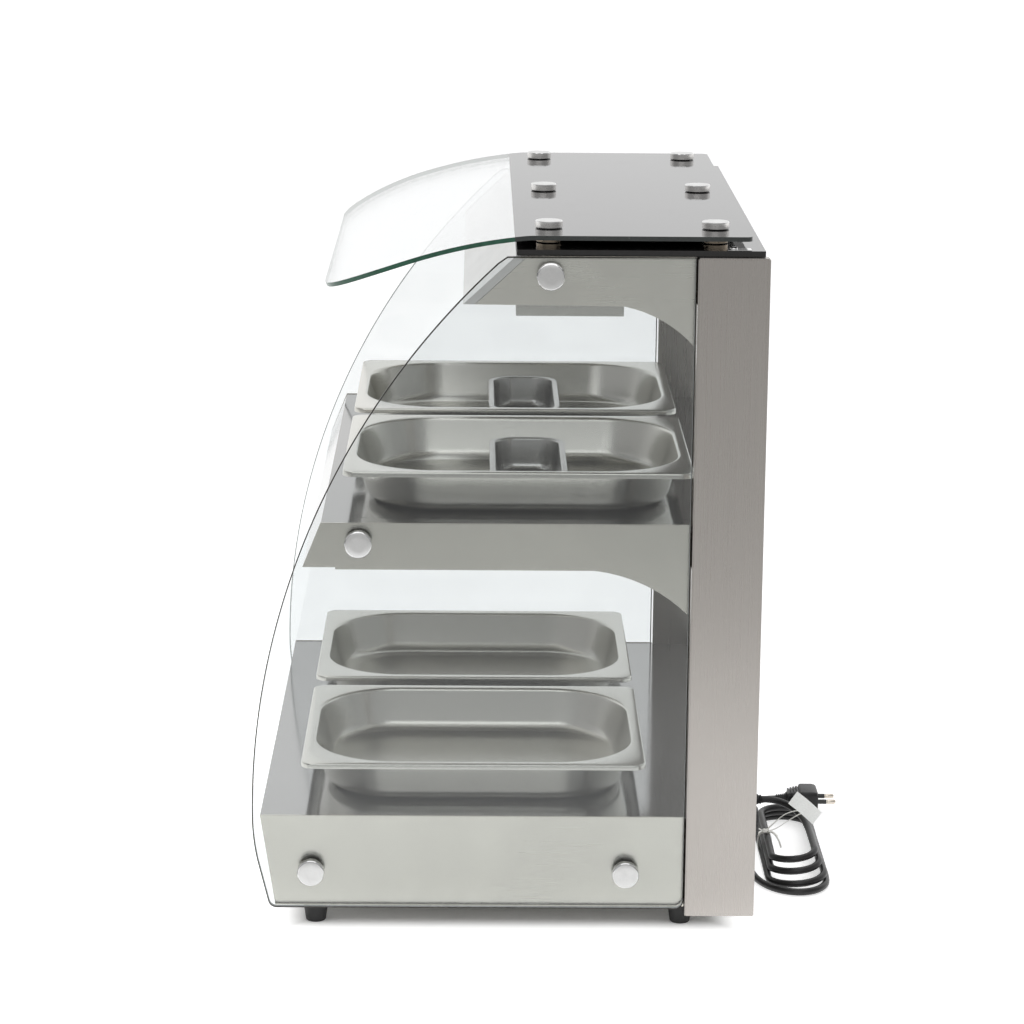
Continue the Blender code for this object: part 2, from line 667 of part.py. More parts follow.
def build_pillars_and_glass():
    for side, word in ((-1, "left"), (1, "right")):
        inner, outer = side * PILLAR_INNER, side * (PILLAR_INNER + PILLAR_THICKNESS)
        mesh = box_mesh("pillar_" + word, (min(inner, outer), back(PILLAR_FRONT), PILLAR_BOTTOM),
                        (max(inner, outer), back(PILLAR_FRONT + PILLAR_DEPTH), HOOD_TOP))
        bm = bmesh.new()
        bm.from_mesh(mesh)
        bmesh.ops.delete(bm, geom=[f for f in bm.faces if f.normal.z < -0.5], context="FACES_ONLY")
        bmesh.ops.bevel(bm, geom=[e for e in bm.edges if not e.is_boundary], offset=0.0012, segments=2,
                        affect="EDGES")
        bm.to_mesh(mesh)
        bm.free()
        pillar = add_part("pillar_" + word, mesh, STEEL, "uprights")
        thicken(pillar, SHEET)

        holes = [circle(place, SHAFT_HOLE, 12) for place in SIDE_FIXINGS]
        side_plate("side_glass_" + word, [side_glass_outline()] + holes, SIDE_GLASS_INNER, side, GLASS,
                   CLEAR_GLASS, "glazing")

        outer_face = SIDE_GLASS_INNER + GLASS + GAP
        proud = outer_face + 0.0077
        profile = [(0.0, proud), (CAP_RADIUS - 0.001, proud), (CAP_RADIUS, proud - 0.001),
                   (CAP_RADIUS, outer_face), (SHAFT, outer_face), (SHAFT, SIDE_GLASS_INNER - GAP),
                   (0.0090, SIDE_GLASS_INNER - GAP), (0.0090, HALF + GAP), (0.0030, HALF + GAP),
                   (0.0030, HALF - SHEET - GAP), (0.0055, HALF - SHEET - GAP),
                   (0.0055, HALF - 0.0060), (0.0, HALF - 0.0060)]
        for (d, z), place in zip(SIDE_FIXINGS, FIXING_NAMES):
            fixing = turned("side_fixing_%s_%s" % (place, word), profile, ALUMINIUM, "glazing")
            fixing.rotation_euler.y = side * math.pi / 2
            fixing.location = (0.0, back(d), z)


# ---- rear doors ----------------------------------------------------------------------------------
TRACK_FRONT = 0.4385
TRACK_REAR = 0.4575
GROOVE_PLAY = 0.0005
FINGER_HOLE = 0.0150
FINGER_HOLE_Z = 0.2900


def track_outline(base, lips, floor):
    """A double groove across (back, z): base is the closed side, lips the open one."""
    outline = [(TRACK_FRONT, base), (TRACK_FRONT, lips)]
    for door in (DOOR_INNER, DOOR_OUTER):
        low, high = door - GROOVE_PLAY, door + DOOR_GLASS + GROOVE_PLAY
        outline += [(low, lips), (low, floor), (high, floor), (high, lips)]
    return outline + [(TRACK_REAR, lips), (TRACK_REAR, base)]


def build_doors():
    bottom = BASE_TOP - 0.0006 + GAP
    length = 2 * (REAR_HALF - GAP)
    grooves = (("door_track_bottom", track_outline(bottom, bottom + 0.008, DOOR_BOTTOM - GAP)),
               ("door_track_top", track_outline(HOOD_BOTTOM, HOOD_BOTTOM - 0.012, DOOR_TOP + 0.003)))
    for name, outline in grooves:
        track = flat_plate(name, [[(back(d), z) for d, z in outline]], length, ALUMINIUM, "doors")
        track.rotation_euler = (math.pi / 2, 0.0, math.pi / 2)

    reach = REAR_HALF - 0.001
    for side, word, front in ((-1, "left", DOOR_INNER), (1, "right", DOOR_OUTER)):
        outer, inner = side * reach, -side * DOOR_OVERLAP / 2
        outline = [(outer, DOOR_BOTTOM), (inner, DOOR_BOTTOM), (inner, DOOR_TOP), (outer, DOOR_TOP)]
        grip = circle((side * (reach - 0.040), FINGER_HOLE_Z), FINGER_HOLE, 20)
        rear_plate("rear_door_" + word, [outline, grip], front, DOOR_GLASS, CLEAR_GLASS, "doors")


# ---- controls ------------------------------------------------------------------------------------
SWITCH_HALF_WIDTH = 0.0060
SWITCH_BODY = (0.078, 0.128)
KNOB_RADIUS = 0.019
ROCKER_AXIS = 0.4595
ROCKER_TILT = math.radians(8.0)     # at rest the lower edge is pressed in, which is off


def build_controls():
    low, high = BASE_BOTTOM + GAP + SHEET + GAP, BASE_TOP - 0.0006 - SHEET - GAP
    outline = [(-REAR_HALF, low), (REAR_HALF, low), (REAR_HALF, high), (-REAR_HALF, high)]
    window = 0.0128
    holes = [circle((KNOB_X, CONTROL_Z), 0.0040, 12), circle((GLAND_X, GLAND_Z), 0.0068, 14),
             [(SWITCH_BODY[0] - GAP, CONTROL_Z - window), (SWITCH_BODY[1] + GAP, CONTROL_Z - window),
              (SWITCH_BODY[1] + GAP, CONTROL_Z + window), (SWITCH_BODY[0] - GAP, CONTROL_Z + window)]]
    rear_plate("control_panel", [outline] + holes, REAR_PANEL, SHEET, STEEL, "controls")
    face = REAR_PANEL + SHEET

    thermostat = box("thermostat", (KNOB_X - 0.018, back(REAR_PANEL - 0.0203), CONTROL_Z - 0.022),
                     (KNOB_X + 0.018, back(REAR_PANEL - GAP), CONTROL_Z + 0.022), ALUMINIUM, "controls")

    def shaft(bm):
        made = bmesh.ops.create_cone(bm, cap_ends=True, segments=12, radius1=0.003, radius2=0.003,
                                     depth=0.0160)["verts"]
        bmesh.ops.rotate(bm, matrix=Matrix.Rotation(math.pi / 2, 3, "X"), verts=made)
        bmesh.ops.translate(bm, vec=(KNOB_X, back(face + 0.0035), CONTROL_Z), verts=made)

    joined = bpy.data.objects.new("thermostat_shaft", mesh_from("thermostat_shaft", shaft))
    cut(thermostat, joined)
    thermostat.modifiers[-1].operation = "UNION"

    profile = [(0.0, 0.0164), (KNOB_RADIUS - 0.0045, 0.0164), (KNOB_RADIUS - 0.0035, 0.0154),
               (KNOB_RADIUS - 0.0025, 0.0040), (KNOB_RADIUS, 0.0028), (KNOB_RADIUS, 0.0),
               (0.0033, 0.0), (0.0033, 0.0120), (0.0, 0.0120)]
    knob = turned("thermostat_knob", profile, BLACK_PLASTIC, "controls", 24)
    knob.rotation_euler.x = -math.pi / 2
    knob.location = (KNOB_X, back(face + 0.0004), CONTROL_Z)

    block = box("switch_block", (SWITCH_BODY[0], back(REAR_PANEL - 0.0205), CONTROL_Z - 0.0125),
                (SWITCH_BODY[1], back(face + GAP + 0.0001), CONTROL_Z + 0.0125), BLACK_PLASTIC, "controls")
    bezel = box_cutter("switch_bezel", [
        ((SWITCH_BODY[0] - 0.003, back(face + GAP), CONTROL_Z - 0.016),
         (SWITCH_BODY[1] + 0.003, back(face + GAP + 0.002), CONTROL_Z + 0.016))])
    cut(block, bezel)
    block.modifiers[-1].operation = "UNION"
    windows = [((x - SWITCH_HALF_WIDTH - 0.0004, back(REAR_PANEL - 0.0120), CONTROL_Z - 0.0116),
                (x + SWITCH_HALF_WIDTH + 0.0004, back(face + 0.01), CONTROL_Z + 0.0116)) for x in SWITCH_X]
    cut(block, box_cutter("rocker_windows", windows))

    rocker = [(0.0055, 0.0100), (0.0040, 0.0), (0.0055, -0.0100), (0.0030, -0.0106), (-0.0050, -0.0070),
              (-0.0050, 0.0070), (0.0030, 0.0106)]
    sine, cosine = math.sin(ROCKER_TILT), math.cos(ROCKER_TILT)
    rocker = [(u * cosine + v * sine, v * cosine - u * sine) for u, v in rocker]
    for x, word in zip(SWITCH_X, ("heat", "light")):
        piece = flat_plate(word + "_switch", [rocker], 2 * SWITCH_HALF_WIDTH, BLACK_PLASTIC, "controls")
        piece.rotation_euler = (math.pi / 2, 0.0, math.pi / 2)
        piece.location = (x, back(ROCKER_AXIS), CONTROL_Z)


# ---- pans and cups -------------------------------------------------------------------------------
def build_contents():
    half_x, half_y, top = PAN_WIDTH / 2, PAN_LENGTH / 2, PAN_HEIGHT
    pan = [(half_x, half_y, 0.012, top - 0.0050), (half_x, half_y, 0.012, top - 0.0012),
           (half_x - 0.0012, half_y - 0.0012, 0.011, top),
           (half_x - 0.0090, half_y - 0.0090, 0.078, top),
           (half_x - 0.0108, half_y - 0.0108, 0.077, top - 0.0015),
           (half_x - 0.0118, half_y - 0.0118, 0.076, top - 0.0050),
           (half_x - 0.0185, half_y - 0.0185, 0.070, 0.0115),
           (half_x - 0.0230, half_y - 0.0230, 0.066, 0.0035),
           (half_x - 0.0310, half_y - 0.0310, 0.060, 0.0008)]
    cup_x, cup_y, rim = CUP_LENGTH / 2, CUP_WIDTH / 2, CUP_HEIGHT
    cup = [(cup_x, cup_y, 0.019, rim - 0.0020), (cup_x, cup_y, 0.019, rim),
           (cup_x - 0.0050, cup_y - 0.0050, 0.015, rim),
           (cup_x - 0.0060, cup_y - 0.0060, 0.014, rim - 0.0015),
           (cup_x - 0.0080, cup_y - 0.0080, 0.012, 0.0080),
           (cup_x - 0.0120, cup_y - 0.0120, 0.008, 0.0008)]
    levels = (("lower", BASE_TOP - 0.0006 + GAP, LOWER_PAN_FRONT),
              ("upper", SHELF_TOP - 0.0006 + GAP, UPPER_PAN_FRONT))
    for level, floor, front in levels:
        for side, (word, shift) in zip((-1, 1), CUP_SHIFT):
            tray = pressed_tray("pan_%s_%s" % (level, word), pan, 0.0008, PAN_STEEL, "contents", 6)
            middle = side * (PAN_GAP + PAN_WIDTH) / 2
            tray.location = (middle, back(front + half_y), floor)
            if level == "upper":
                piece = pressed_tray("cup_" + word, cup, 0.0008, PAN_STEEL, "contents", 4)
                piece.location = (middle + shift, back(front + half_y + 0.010), floor + 0.0011)


# ---- mains lead ----------------------------------------------------------------------------------
HANK_FLOOR = 0.0004
HANK_TOP = 0.0300
PLUG_X = -0.057
PLUG_Y = 0.2823
PLUG_Z = 0.0125
LEAD_ROUTE = (
    (GLAND_X, 0.2593, GLAND_Z), (0.0300, 0.2680, 0.0402), (0.0335, 0.2800, 0.0385),
    (0.0430, 0.2910, 0.0352), (0.0455, 0.2930, 0.0345))


def build_lead():
    face = REAR_PANEL + SHEET
    rear = GLAND_REAR - face
    profile = [(0.0, rear), (0.0048, rear), (0.0068, 0.0045), (0.0105, 0.0045), (0.0105, GAP),
               (0.0063, GAP), (0.0063, -SHEET - GAP), (0.0095, -SHEET - GAP), (0.0095, -0.0070),
               (0.0, -0.0070)]
    gland = turned("cable_gland", profile, BLACK_PLASTIC, "lead")
    gland.rotation_euler.x = -math.pi / 2
    gland.location = (GLAND_X, back(face), GLAND_Z)

    route = [Vector(p) for p in LEAD_ROUTE]
    points = smooth_route(route, 0.0050)
    points[0].y += GAP
    tube("power_cord", points, CORD_RADIUS, 2, RUBBER, "lead")

    low, high = 0.2352, 0.3165
    near, far, notch = 0.2130, -0.0612, -0.0285
    radius = (high - low) / 2
    outline = arc((near - radius, (low + high) / 2), radius, -90, 90, 10)
    outline += arc((notch + 0.010, high - 0.010), 0.010, 90, 180, 3)
    outline += [(notch, PLUG_Y - GAP)]
    outline += arc((far + 0.010, PLUG_Y - GAP - 0.010), 0.010, 90, 180, 3)
    outline += arc((far + 0.010, low + 0.010), 0.010, 180, 270, 3)
    hank = flat_plate("cord_hank", [outline], HANK_TOP - HANK_FLOOR, RUBBER, "lead")
    hank.location.z = (HANK_TOP + HANK_FLOOR) / 2

    sections = ((0.0, 0.0045, 0.0045), (0.0120, 0.0065, 0.0060), (0.0125, 0.0130, 0.0100),
                (0.0180, 0.0175, 0.0120), (0.0400, 0.0180, 0.0120), (0.0430, 0.0165, 0.0105))
    rings = [[(x, d, z) for x, z, d in rounded_ring(half_x, half_z, min(half_x, half_z) * 0.6, distance, 3)]
             for distance, half_x, half_z in sections]
    body = add_part("power_plug", lofted_mesh("power_plug", rings), BLACK_PLASTIC, "lead")
    body.location = (PLUG_X, PLUG_Y, PLUG_Z)

    def pins(bm):
        for x in (-0.0095, 0.0095):
            made = bmesh.ops.create_cone(bm, cap_ends=True, segments=12, radius1=0.0024, radius2=0.0024,
                                         depth=0.0200)["verts"]
            bmesh.ops.rotate(bm, matrix=Matrix.Rotation(math.pi / 2, 3, "X"), verts=made)
            bmesh.ops.translate(bm, vec=(PLUG_X + x, PLUG_Y + 0.0520, PLUG_Z), verts=made)

    cut(body, bpy.data.objects.new("plug_pins", mesh_from("plug_pins", pins)))
    body.modifiers[-1].operation = "UNION"


build_base()
build_shelf()
build_hood()
build_top()
build_pillars_and_glass()
build_doors()
build_controls()
build_contents()
build_lead()
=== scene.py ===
"""Looks of the hot food display case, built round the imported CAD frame.

Metres, X across the case, -Y towards the customer, +Y towards the operator, Z up. Sheets, pillars,
decks and tracks are the CAD nodes with new materials; glass, turned parts, pans, controls and the
mains lead are finer pieces that stand for their nodes.
"""
import json
import math

import bmesh
import bpy
from mathutils import Matrix, Vector

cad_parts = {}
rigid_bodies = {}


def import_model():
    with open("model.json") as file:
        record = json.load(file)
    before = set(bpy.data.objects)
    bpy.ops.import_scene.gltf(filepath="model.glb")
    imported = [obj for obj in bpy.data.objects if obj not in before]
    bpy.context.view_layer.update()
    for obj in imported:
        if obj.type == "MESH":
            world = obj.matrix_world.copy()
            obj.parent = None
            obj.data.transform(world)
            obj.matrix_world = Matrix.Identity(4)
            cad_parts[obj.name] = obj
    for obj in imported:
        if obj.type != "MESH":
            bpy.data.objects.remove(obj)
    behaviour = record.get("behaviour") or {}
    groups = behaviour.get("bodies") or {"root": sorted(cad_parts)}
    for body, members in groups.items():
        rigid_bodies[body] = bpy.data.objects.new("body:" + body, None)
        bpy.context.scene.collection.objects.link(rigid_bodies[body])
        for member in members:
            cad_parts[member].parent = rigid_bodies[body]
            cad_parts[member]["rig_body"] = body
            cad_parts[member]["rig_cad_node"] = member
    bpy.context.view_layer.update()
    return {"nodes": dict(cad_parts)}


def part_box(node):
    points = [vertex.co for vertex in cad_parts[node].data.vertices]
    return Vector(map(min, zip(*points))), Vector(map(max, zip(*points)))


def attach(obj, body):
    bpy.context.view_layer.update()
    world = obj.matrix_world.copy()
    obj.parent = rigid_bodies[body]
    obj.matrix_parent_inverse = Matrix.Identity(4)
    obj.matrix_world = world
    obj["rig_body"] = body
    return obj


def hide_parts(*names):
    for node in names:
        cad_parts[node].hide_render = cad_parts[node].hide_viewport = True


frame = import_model()
ROOT = bpy.context.scene.collection
UP = Vector((0.0, 0.0, 1.0))
TO_REAR = Matrix.Rotation(-math.pi / 2, 4, "X")     # turns a lathed piece's axis to +Y

# ---- sizes repeated from the CAD ----
FRONT_EDGE = -0.2350        # Y of the front edge of the base deck; "back" is measured from here
SIDE_GLASS_INNER, SIDE_GLASS_OUTER = 0.3070, 0.3120
SIDE_GLASS_BOTTOM, SIDE_GLASS_REAR = 0.0245, 0.3972
GLASS_TOP_EDGE = 0.6420
CANOPY_TOP, CANOPY_THICK, CANOPY_HALF = 0.6604, 0.0042, 0.3060
CANOPY_REAR, CANOPY_BEND = 0.4475, 0.2520
CANOPY_KNEE, CANOPY_BOW = (0.1000, math.radians(5.95)), (0.5056, math.radians(21.74))
CANOPY_CORNER = 0.0880      # the two bends above are (radius, turn)
PRINT_EDGE = 0.2335         # back of this line the top glass is printed black
CAP_RADIUS = 0.0125
SIDE_FIXINGS = (("hood", 0.0311, 0.6252), ("shelf", -0.1421, 0.3771),
                ("base_front", -0.1872, 0.0608), ("base_rear", 0.1072, 0.0600))
STANDOFFS = (("left", -0.255), ("middle", 0.0), ("right", 0.255))
STANDOFF_ROWS = (("front", 0.0302), ("rear", 0.1822))
FIXING_HOLE = 0.0053
FOOT_X, FOOT_ROWS = 0.275, (("front", -0.1845), ("rear", 0.1615))
PAN_X, PAN_TOP, PAN_HALF = 0.14725, 0.0425, (0.1325, 0.1625)
CUP_Y, CUP_TOP, CUP_HALF = 0.0145, 0.0320, (0.0930, 0.0365)
TRAY_SHEET = 0.0008
PANEL_FACE = 0.2252         # rear face of the control panel
CONTROL_Z = 0.0680
KNOB_X = 0.1830
GLAND = Vector((0.0300, 0.2590, 0.0405))
CORD_RADIUS = 0.0035
PLUG = Vector((-0.0570, 0.2823, 0.0125))
LEAD_ROUTE = ((0.0300, 0.2593, 0.0405), (0.0300, 0.2680, 0.0402), (0.0335, 0.2800, 0.0385),
              (0.0430, 0.2910, 0.0352))

# ---- studio ----
CAMERA_PLACE = (3.2045, -0.0357, 1.0895)
CAMERA_PITCH, CAMERA_YAW, CAMERA_ROLL = 13.27, 0.67, 0.51       # degrees
SENSOR_MM, LENS_MM = 36.0, 114.5359
BACK_LIGHT, FRONT_LIGHT = 1.14, 0.46                            # the room beyond -X and beyond +X
ROOM_TURN = (-0.80, 0.20)                                       # where one passes into the other
LAMPS = (("overhead_softbox", (0.0, 0.0, 2.8), (2.6, 2.6), 20.0),
         ("front_softbox", (3.0, -0.2, 2.4), (3.2, 2.0), 26.0))
FLOOR_REACH, FLOOR_Z = 14.0, -0.0003
FLOOR_NEAR, FLOOR_FAR = 0.75, 1.60          # X over which the paper is painted darker towards the camera: painted shade for the panels to reflect
FOOTPRINT_X, FOOTPRINT_Y = 0.300, 0.215     # half sizes of the patch left in the case's shade
PATCH_RIM = (-0.030, 0.006)                 # distances outside the footprint where the shade ends
GLOW_REACH, GLOW = (0.010, 0.170), (0.78, 0.43)     # where the paper's painted glow falls, from and to


# ---- camera ----
def make_camera():
    """Off the right-hand end of the case, a little above it."""
    pitch, yaw, roll = (math.radians(a) for a in (CAMERA_PITCH, CAMERA_YAW, CAMERA_ROLL))
    ahead = Vector((-math.cos(pitch) * math.cos(yaw), math.cos(pitch) * math.sin(yaw),
                    -math.sin(pitch)))
    level = Vector((math.sin(yaw), math.cos(yaw), 0.0))
    upward = level.cross(ahead)
    right = level * math.cos(roll) + upward * math.sin(roll)
    top = upward * math.cos(roll) - level * math.sin(roll)
    data = bpy.data.cameras.new("camera")
    data.sensor_width = SENSOR_MM
    data.lens = LENS_MM
    data.clip_end = 60.0
    camera = bpy.data.objects.new("camera", data)
    ROOT.objects.link(camera)
    turn = Matrix((right, top, -ahead)).transposed().to_4x4()
    camera.matrix_world = Matrix.Translation(CAMERA_PLACE) @ turn
    bpy.context.scene.camera = camera


make_camera()


# ---- materials ----
class Surface:
    """One node-built material; place is the piece's own coordinates in metres."""

    def __init__(self, name):
        self.material = bpy.data.materials.new(name)
        self.material.use_nodes = True
        self.tree = self.material.node_tree
        self.tree.nodes.clear()
        self.place = self.add("ShaderNodeTexCoord").outputs["Object"]

    def add(self, kind, settings=None, **inputs):
        node = self.tree.nodes.new(kind)
        for key, value in (settings or {}).items():
            setattr(node, key, value)
        for key, value in inputs.items():
            self.put(node.inputs[key.replace("_", " ")], value)
        return node

    def put(self, socket, value):
        if isinstance(value, bpy.types.NodeSocket):
            self.tree.links.new(value, socket)
        else:
            socket.default_value = value

    def noise(self, scale, detail=3.0, rough=0.55, twist=0.0, shift=(0.0, 0.0, 0.0)):
        mapped = self.add("ShaderNodeMapping", Vector=self.place, Scale=scale, Location=shift)
        node = self.add("ShaderNodeTexNoise", Vector=mapped.outputs[0], Scale=1.0, Detail=detail,
                        Roughness=rough, Distortion=twist)
        return node.outputs[0]

    def span(self, source, low, high, start=0.3, end=0.7, kind="LINEAR"):
        node = self.add("ShaderNodeMapRange", {"interpolation_type": kind}, Value=source,
                        From_Min=start, From_Max=end, To_Min=low, To_Max=high)
        return node.outputs[0]

    def sum(self, first, second, operation="ADD"):
        node = self.add("ShaderNodeMath", {"operation": operation})
        self.put(node.inputs[0], first)
        self.put(node.inputs[1], second)
        return node.outputs[0]

    def blend(self, share, first, second):
        node = self.add("ShaderNodeMix", {"data_type": "RGBA"})
        for index, value in ((0, share), (6, first), (7, second)):
            if index and not isinstance(value, bpy.types.NodeSocket):
                value = (*value, 1.0)
            self.put(node.inputs[index], value)
        return node.outputs[2]

    def bump(self, height, distance):
        return self.add("ShaderNodeBump", Height=height, Distance=distance, Strength=1.0).outputs[0]

    def close(self, shader):
        self.tree.links.new(shader, self.add("ShaderNodeOutputMaterial").inputs[0])
        return self.material


def shade(colour, factor):
    return tuple(c * factor for c in colour)


def metal(name, colour, rough, grain, depth, patch, patch_size=9.0, relief=0.000012, spread=0.10):
    """Steel or aluminium; grain is the noise scale along X, Y and Z, least along the brushing."""
    s = Surface(name)
    lines = s.noise(grain, 4.0, 0.65)
    clouds = s.noise((patch_size,) * 3, 4.0, 0.6, 0.8)
    spots = s.noise((patch_size * 7,) * 3, 2.0, 0.5, 0.3, (3.1, 1.7, 0.4))
    brushed = s.blend(s.span(lines, 0.0, 1.0), shade(colour, 1.0 - depth),
                      shade(colour, 1.0 + depth))
    handled = s.blend(s.span(clouds, 0.0, 1.0, 0.42, 0.68), brushed,
                      shade(colour, 1.0 - 3.0 * patch))
    tone = s.blend(s.span(spots, 0.0, 0.5, 0.60, 0.75), handled, shade(colour, 1.0 - 2.0 * patch))
    worn = s.sum(s.span(lines, rough - spread / 2, rough + spread / 2),
                 s.span(clouds, -spread / 3, spread / 2))
    shader = s.add("ShaderNodeBsdfPrincipled", Base_Color=tone, Metallic=1.0, Roughness=worn,
                   Normal=s.bump(lines, relief))
    return s.close(shader.outputs[0])


def coated(name, colour, rough, fleck=0.25, relief=0.00004, grain=900.0, specular=0.5, coat=0.0,
           spread=0.12, wear=0.35):
    """Plastic, rubber or glass-like paint with a fine moulded grain and rubbed patches."""
    s = Surface(name)
    fine = s.noise((grain,) * 3, 3.0, 0.6)
    broad = s.noise((23.0,) * 3, 4.0, 0.6, 0.5)
    body = s.blend(s.span(fine, 0.0, 1.0), shade(colour, 1.0 - fleck), shade(colour, 1.0 + fleck))
    tone = s.blend(s.span(broad, 0.0, wear, 0.45, 0.75), body, shade(colour, 1.7))
    dull = s.sum(s.span(fine, rough - spread / 2, rough + spread / 2), s.span(broad, -0.04, 0.06))
    shader = s.add("ShaderNodeBsdfPrincipled", Base_Color=tone, Roughness=dull,
                   Normal=s.bump(fine, relief))
    shader.inputs["Specular IOR Level"].default_value = specular
    shader.inputs["Coat Weight"].default_value = coat
    shader.inputs["Coat Roughness"].default_value = 0.03
    return s.close(shader.outputs[0])


def pane(name, tint):
    """Clear sheet glass: a slight tint, and more of a mirror the flatter it is seen."""
    s = Surface(name)
    film = s.noise((11.0, 11.0, 11.0), 4.0, 0.6, 1.0)
    facing = s.add("ShaderNodeLayerWeight", Blend=0.5).outputs["Facing"]
    mirror = s.sum(s.sum(facing, 5.0, "POWER"), 0.96, "MULTIPLY")
    share = s.sum(s.sum(mirror, 0.04), s.span(film, 0.0, 0.006, 0.45, 0.8))
    through = s.add("ShaderNodeBsdfTransparent",
                    Color=s.blend(s.span(film, 0.0, 1.0, 0.35, 0.8), tint, shade(tint, 0.985)))
    gloss = s.add("ShaderNodeBsdfAnisotropic", Color=(1.0, 1.0, 1.0, 1.0),
                  Roughness=s.span(film, 0.004, 0.02))
    mixed = s.add("ShaderNodeMixShader")
    for socket, value in zip(mixed.inputs, (share, through.outputs[0], gloss.outputs[0])):
        s.put(socket, value)
    return s.close(mixed.outputs[0])


def make_room():
    """The lit room all round: bright beyond -X, dim beyond +X."""
    world = bpy.data.worlds.new("studio")
    bpy.context.scene.world = world
    world.use_nodes = True
    tree = world.node_tree
    tree.nodes.clear()
    place, split, ramp, shine, out = (tree.nodes.new("ShaderNode" + kind) for kind in (
        "TexCoord", "SeparateXYZ", "MapRange", "Background", "OutputWorld"))
    ramp.interpolation_type = "SMOOTHSTEP"
    for key, value in (("From Min", ROOM_TURN[0]), ("From Max", ROOM_TURN[1]),
                       ("To Min", BACK_LIGHT), ("To Max", FRONT_LIGHT)):
        ramp.inputs[key].default_value = value
    shine.inputs["Color"].default_value = (1.0, 1.0, 1.0, 1.0)
    tree.links.new(place.outputs["Generated"], split.inputs[0])
    tree.links.new(split.outputs["X"], ramp.inputs["Value"])
    tree.links.new(ramp.outputs[0], shine.inputs["Strength"])
    tree.links.new(shine.outputs[0], out.inputs[0])


def make_floor():
    """White paper with painted light: it glows softly beside the case, keeps the case's own shade
    under it, and is painted darker towards the camera as painted shade.
    """
    s = Surface("floor_paper")
    split = s.add("ShaderNodeSeparateXYZ", Vector=s.place)
    weave = s.noise((240.0, 240.0, 240.0), 2.0)
    paper = s.blend(s.span(weave, 0.0, 1.0), (0.93, 0.93, 0.93), (0.96, 0.96, 0.96))
    # painted shade: the paper darkens towards the camera, so the panels reflect a dimmer room
    painted_shade_ramp = s.span(split.outputs["X"], 0.0, 1.0, FLOOR_NEAR, FLOOR_FAR, "SMOOTHSTEP")
    tone = s.blend(painted_shade_ramp, paper, (0.43, 0.43, 0.425))
    beside = s.sum(s.sum(split.outputs["X"], 0.0, "ABSOLUTE"), FOOTPRINT_X, "SUBTRACT")
    before = s.sum(s.sum(split.outputs["Y"], 0.0, "ABSOLUTE"), FOOTPRINT_Y, "SUBTRACT")
    apart = s.sum(beside, before, "MAXIMUM")
    edge = s.span(apart, 0.0, 1.0, *PATCH_RIM, "SMOOTHSTEP")
    fall = s.span(apart, *GLOW, *GLOW_REACH, "SMOOTHSTEP")
    # painted light: the paper glows beside the case, but not in the patch under it
    shader = s.add("ShaderNodeBsdfPrincipled", Base_Color=tone, Roughness=0.7, Emission_Color=tone,
                   Emission_Strength=s.sum(edge, fall, "MULTIPLY"))
    shader.inputs["Specular IOR Level"].default_value = 0.2
    bm = bmesh.new()
    bm.faces.new([bm.verts.new((x * FLOOR_REACH, y * FLOOR_REACH, FLOOR_Z))
                  for x, y in ((-1, -1), (1, -1), (1, 1), (-1, 1))])
    floor = new_object("floor", bm)
    floor.data.materials.append(s.close(shader.outputs[0]))


def make_lamps():
    """Soft area lights, aimed at the middle of the case."""
    for name, where, size, power in LAMPS:
        data = bpy.data.lights.new(name, "AREA")
        data.shape = "RECTANGLE"
        data.size, data.size_y = size
        data.energy = power
        lamp = bpy.data.objects.new(name, data)
        ROOT.objects.link(lamp)
        lamp.location = where
        aim = Vector((0.0, 0.0, 0.25)) - Vector(where)
        lamp.rotation_euler = aim.to_track_quat("-Z", "Y").to_euler()


# ---- mesh helpers ----
def back(distance):
    """Y of a place this far behind the front edge of the base deck."""
    return FRONT_EDGE + distance


def new_object(name, bm):
    mesh = bpy.data.meshes.new(name)
    bm.to_mesh(mesh)
    bm.free()
    obj = bpy.data.objects.new(name, mesh)
    ROOT.objects.link(obj)
    return obj


def baked(obj):
    """Applies the object's modifiers and returns its new mesh."""
    dg = bpy.context.evaluated_depsgraph_get()
    obj.data = bpy.data.meshes.new_from_object(obj.evaluated_get(dg), depsgraph=dg,
                                               preserve_all_data_layers=True)
    obj.modifiers.clear()
    return obj.data


def settle(obj, angle, flat=False):
    """Applies the modifiers and smooths edges up to this angle; flat keeps broad faces flat."""
    mesh = baked(obj)
    bm = bmesh.new()
    bm.from_mesh(mesh)
    limit = math.radians(angle)
    for face in bm.faces:
        face.smooth = True
    for edge in bm.edges:
        edge.smooth = len(edge.link_faces) == 2 and edge.calc_face_angle(0.0) < limit
    bm.to_mesh(mesh)
    bm.free()
    if flat:
        obj.modifiers.new("broad_faces", "WEIGHTED_NORMAL").keep_sharp = True
        baked(obj)
    return obj


def dress(obj, body, slot, *materials):
    """Gives the object its materials and its body; slot is not used."""
    for material in materials:
        obj.data.materials.append(material)
    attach(obj, body)
    return obj


def finished(name, bm, angle, slot, *materials):
    """The mesh as a piece of the case: faces turned outwards, smooth up to this angle."""
    bmesh.ops.recalc_face_normals(bm, faces=bm.faces)
    return dress(settle(new_object(name, bm), angle), "case", slot, *materials)


def turned(name, profile, turn, steps, angle, slot, *materials, index=None):
    """A finished piece with one lathed profile."""
    bm = bmesh.new()
    lathe(bm, profile, turn, steps, index=index)
    return finished(name, bm, angle, slot, *materials)


def at(x, y, z):
    return Matrix.Translation((x, y, z))


def bridge(bm, rings, open_start=False):
    """Faces between matching closed rings of points, and over the ends."""
    loops = [[bm.verts.new(p) for p in ring] for ring in rings]
    for first, second in zip(loops, loops[1:]):
        for k, vert in enumerate(first):
            after = (k + 1) % len(first)
            bm.faces.new((vert, first[after], second[after], second[k]))
    if not open_start:
        bm.faces.new(list(reversed(loops[0])))
    bm.faces.new(loops[-1])


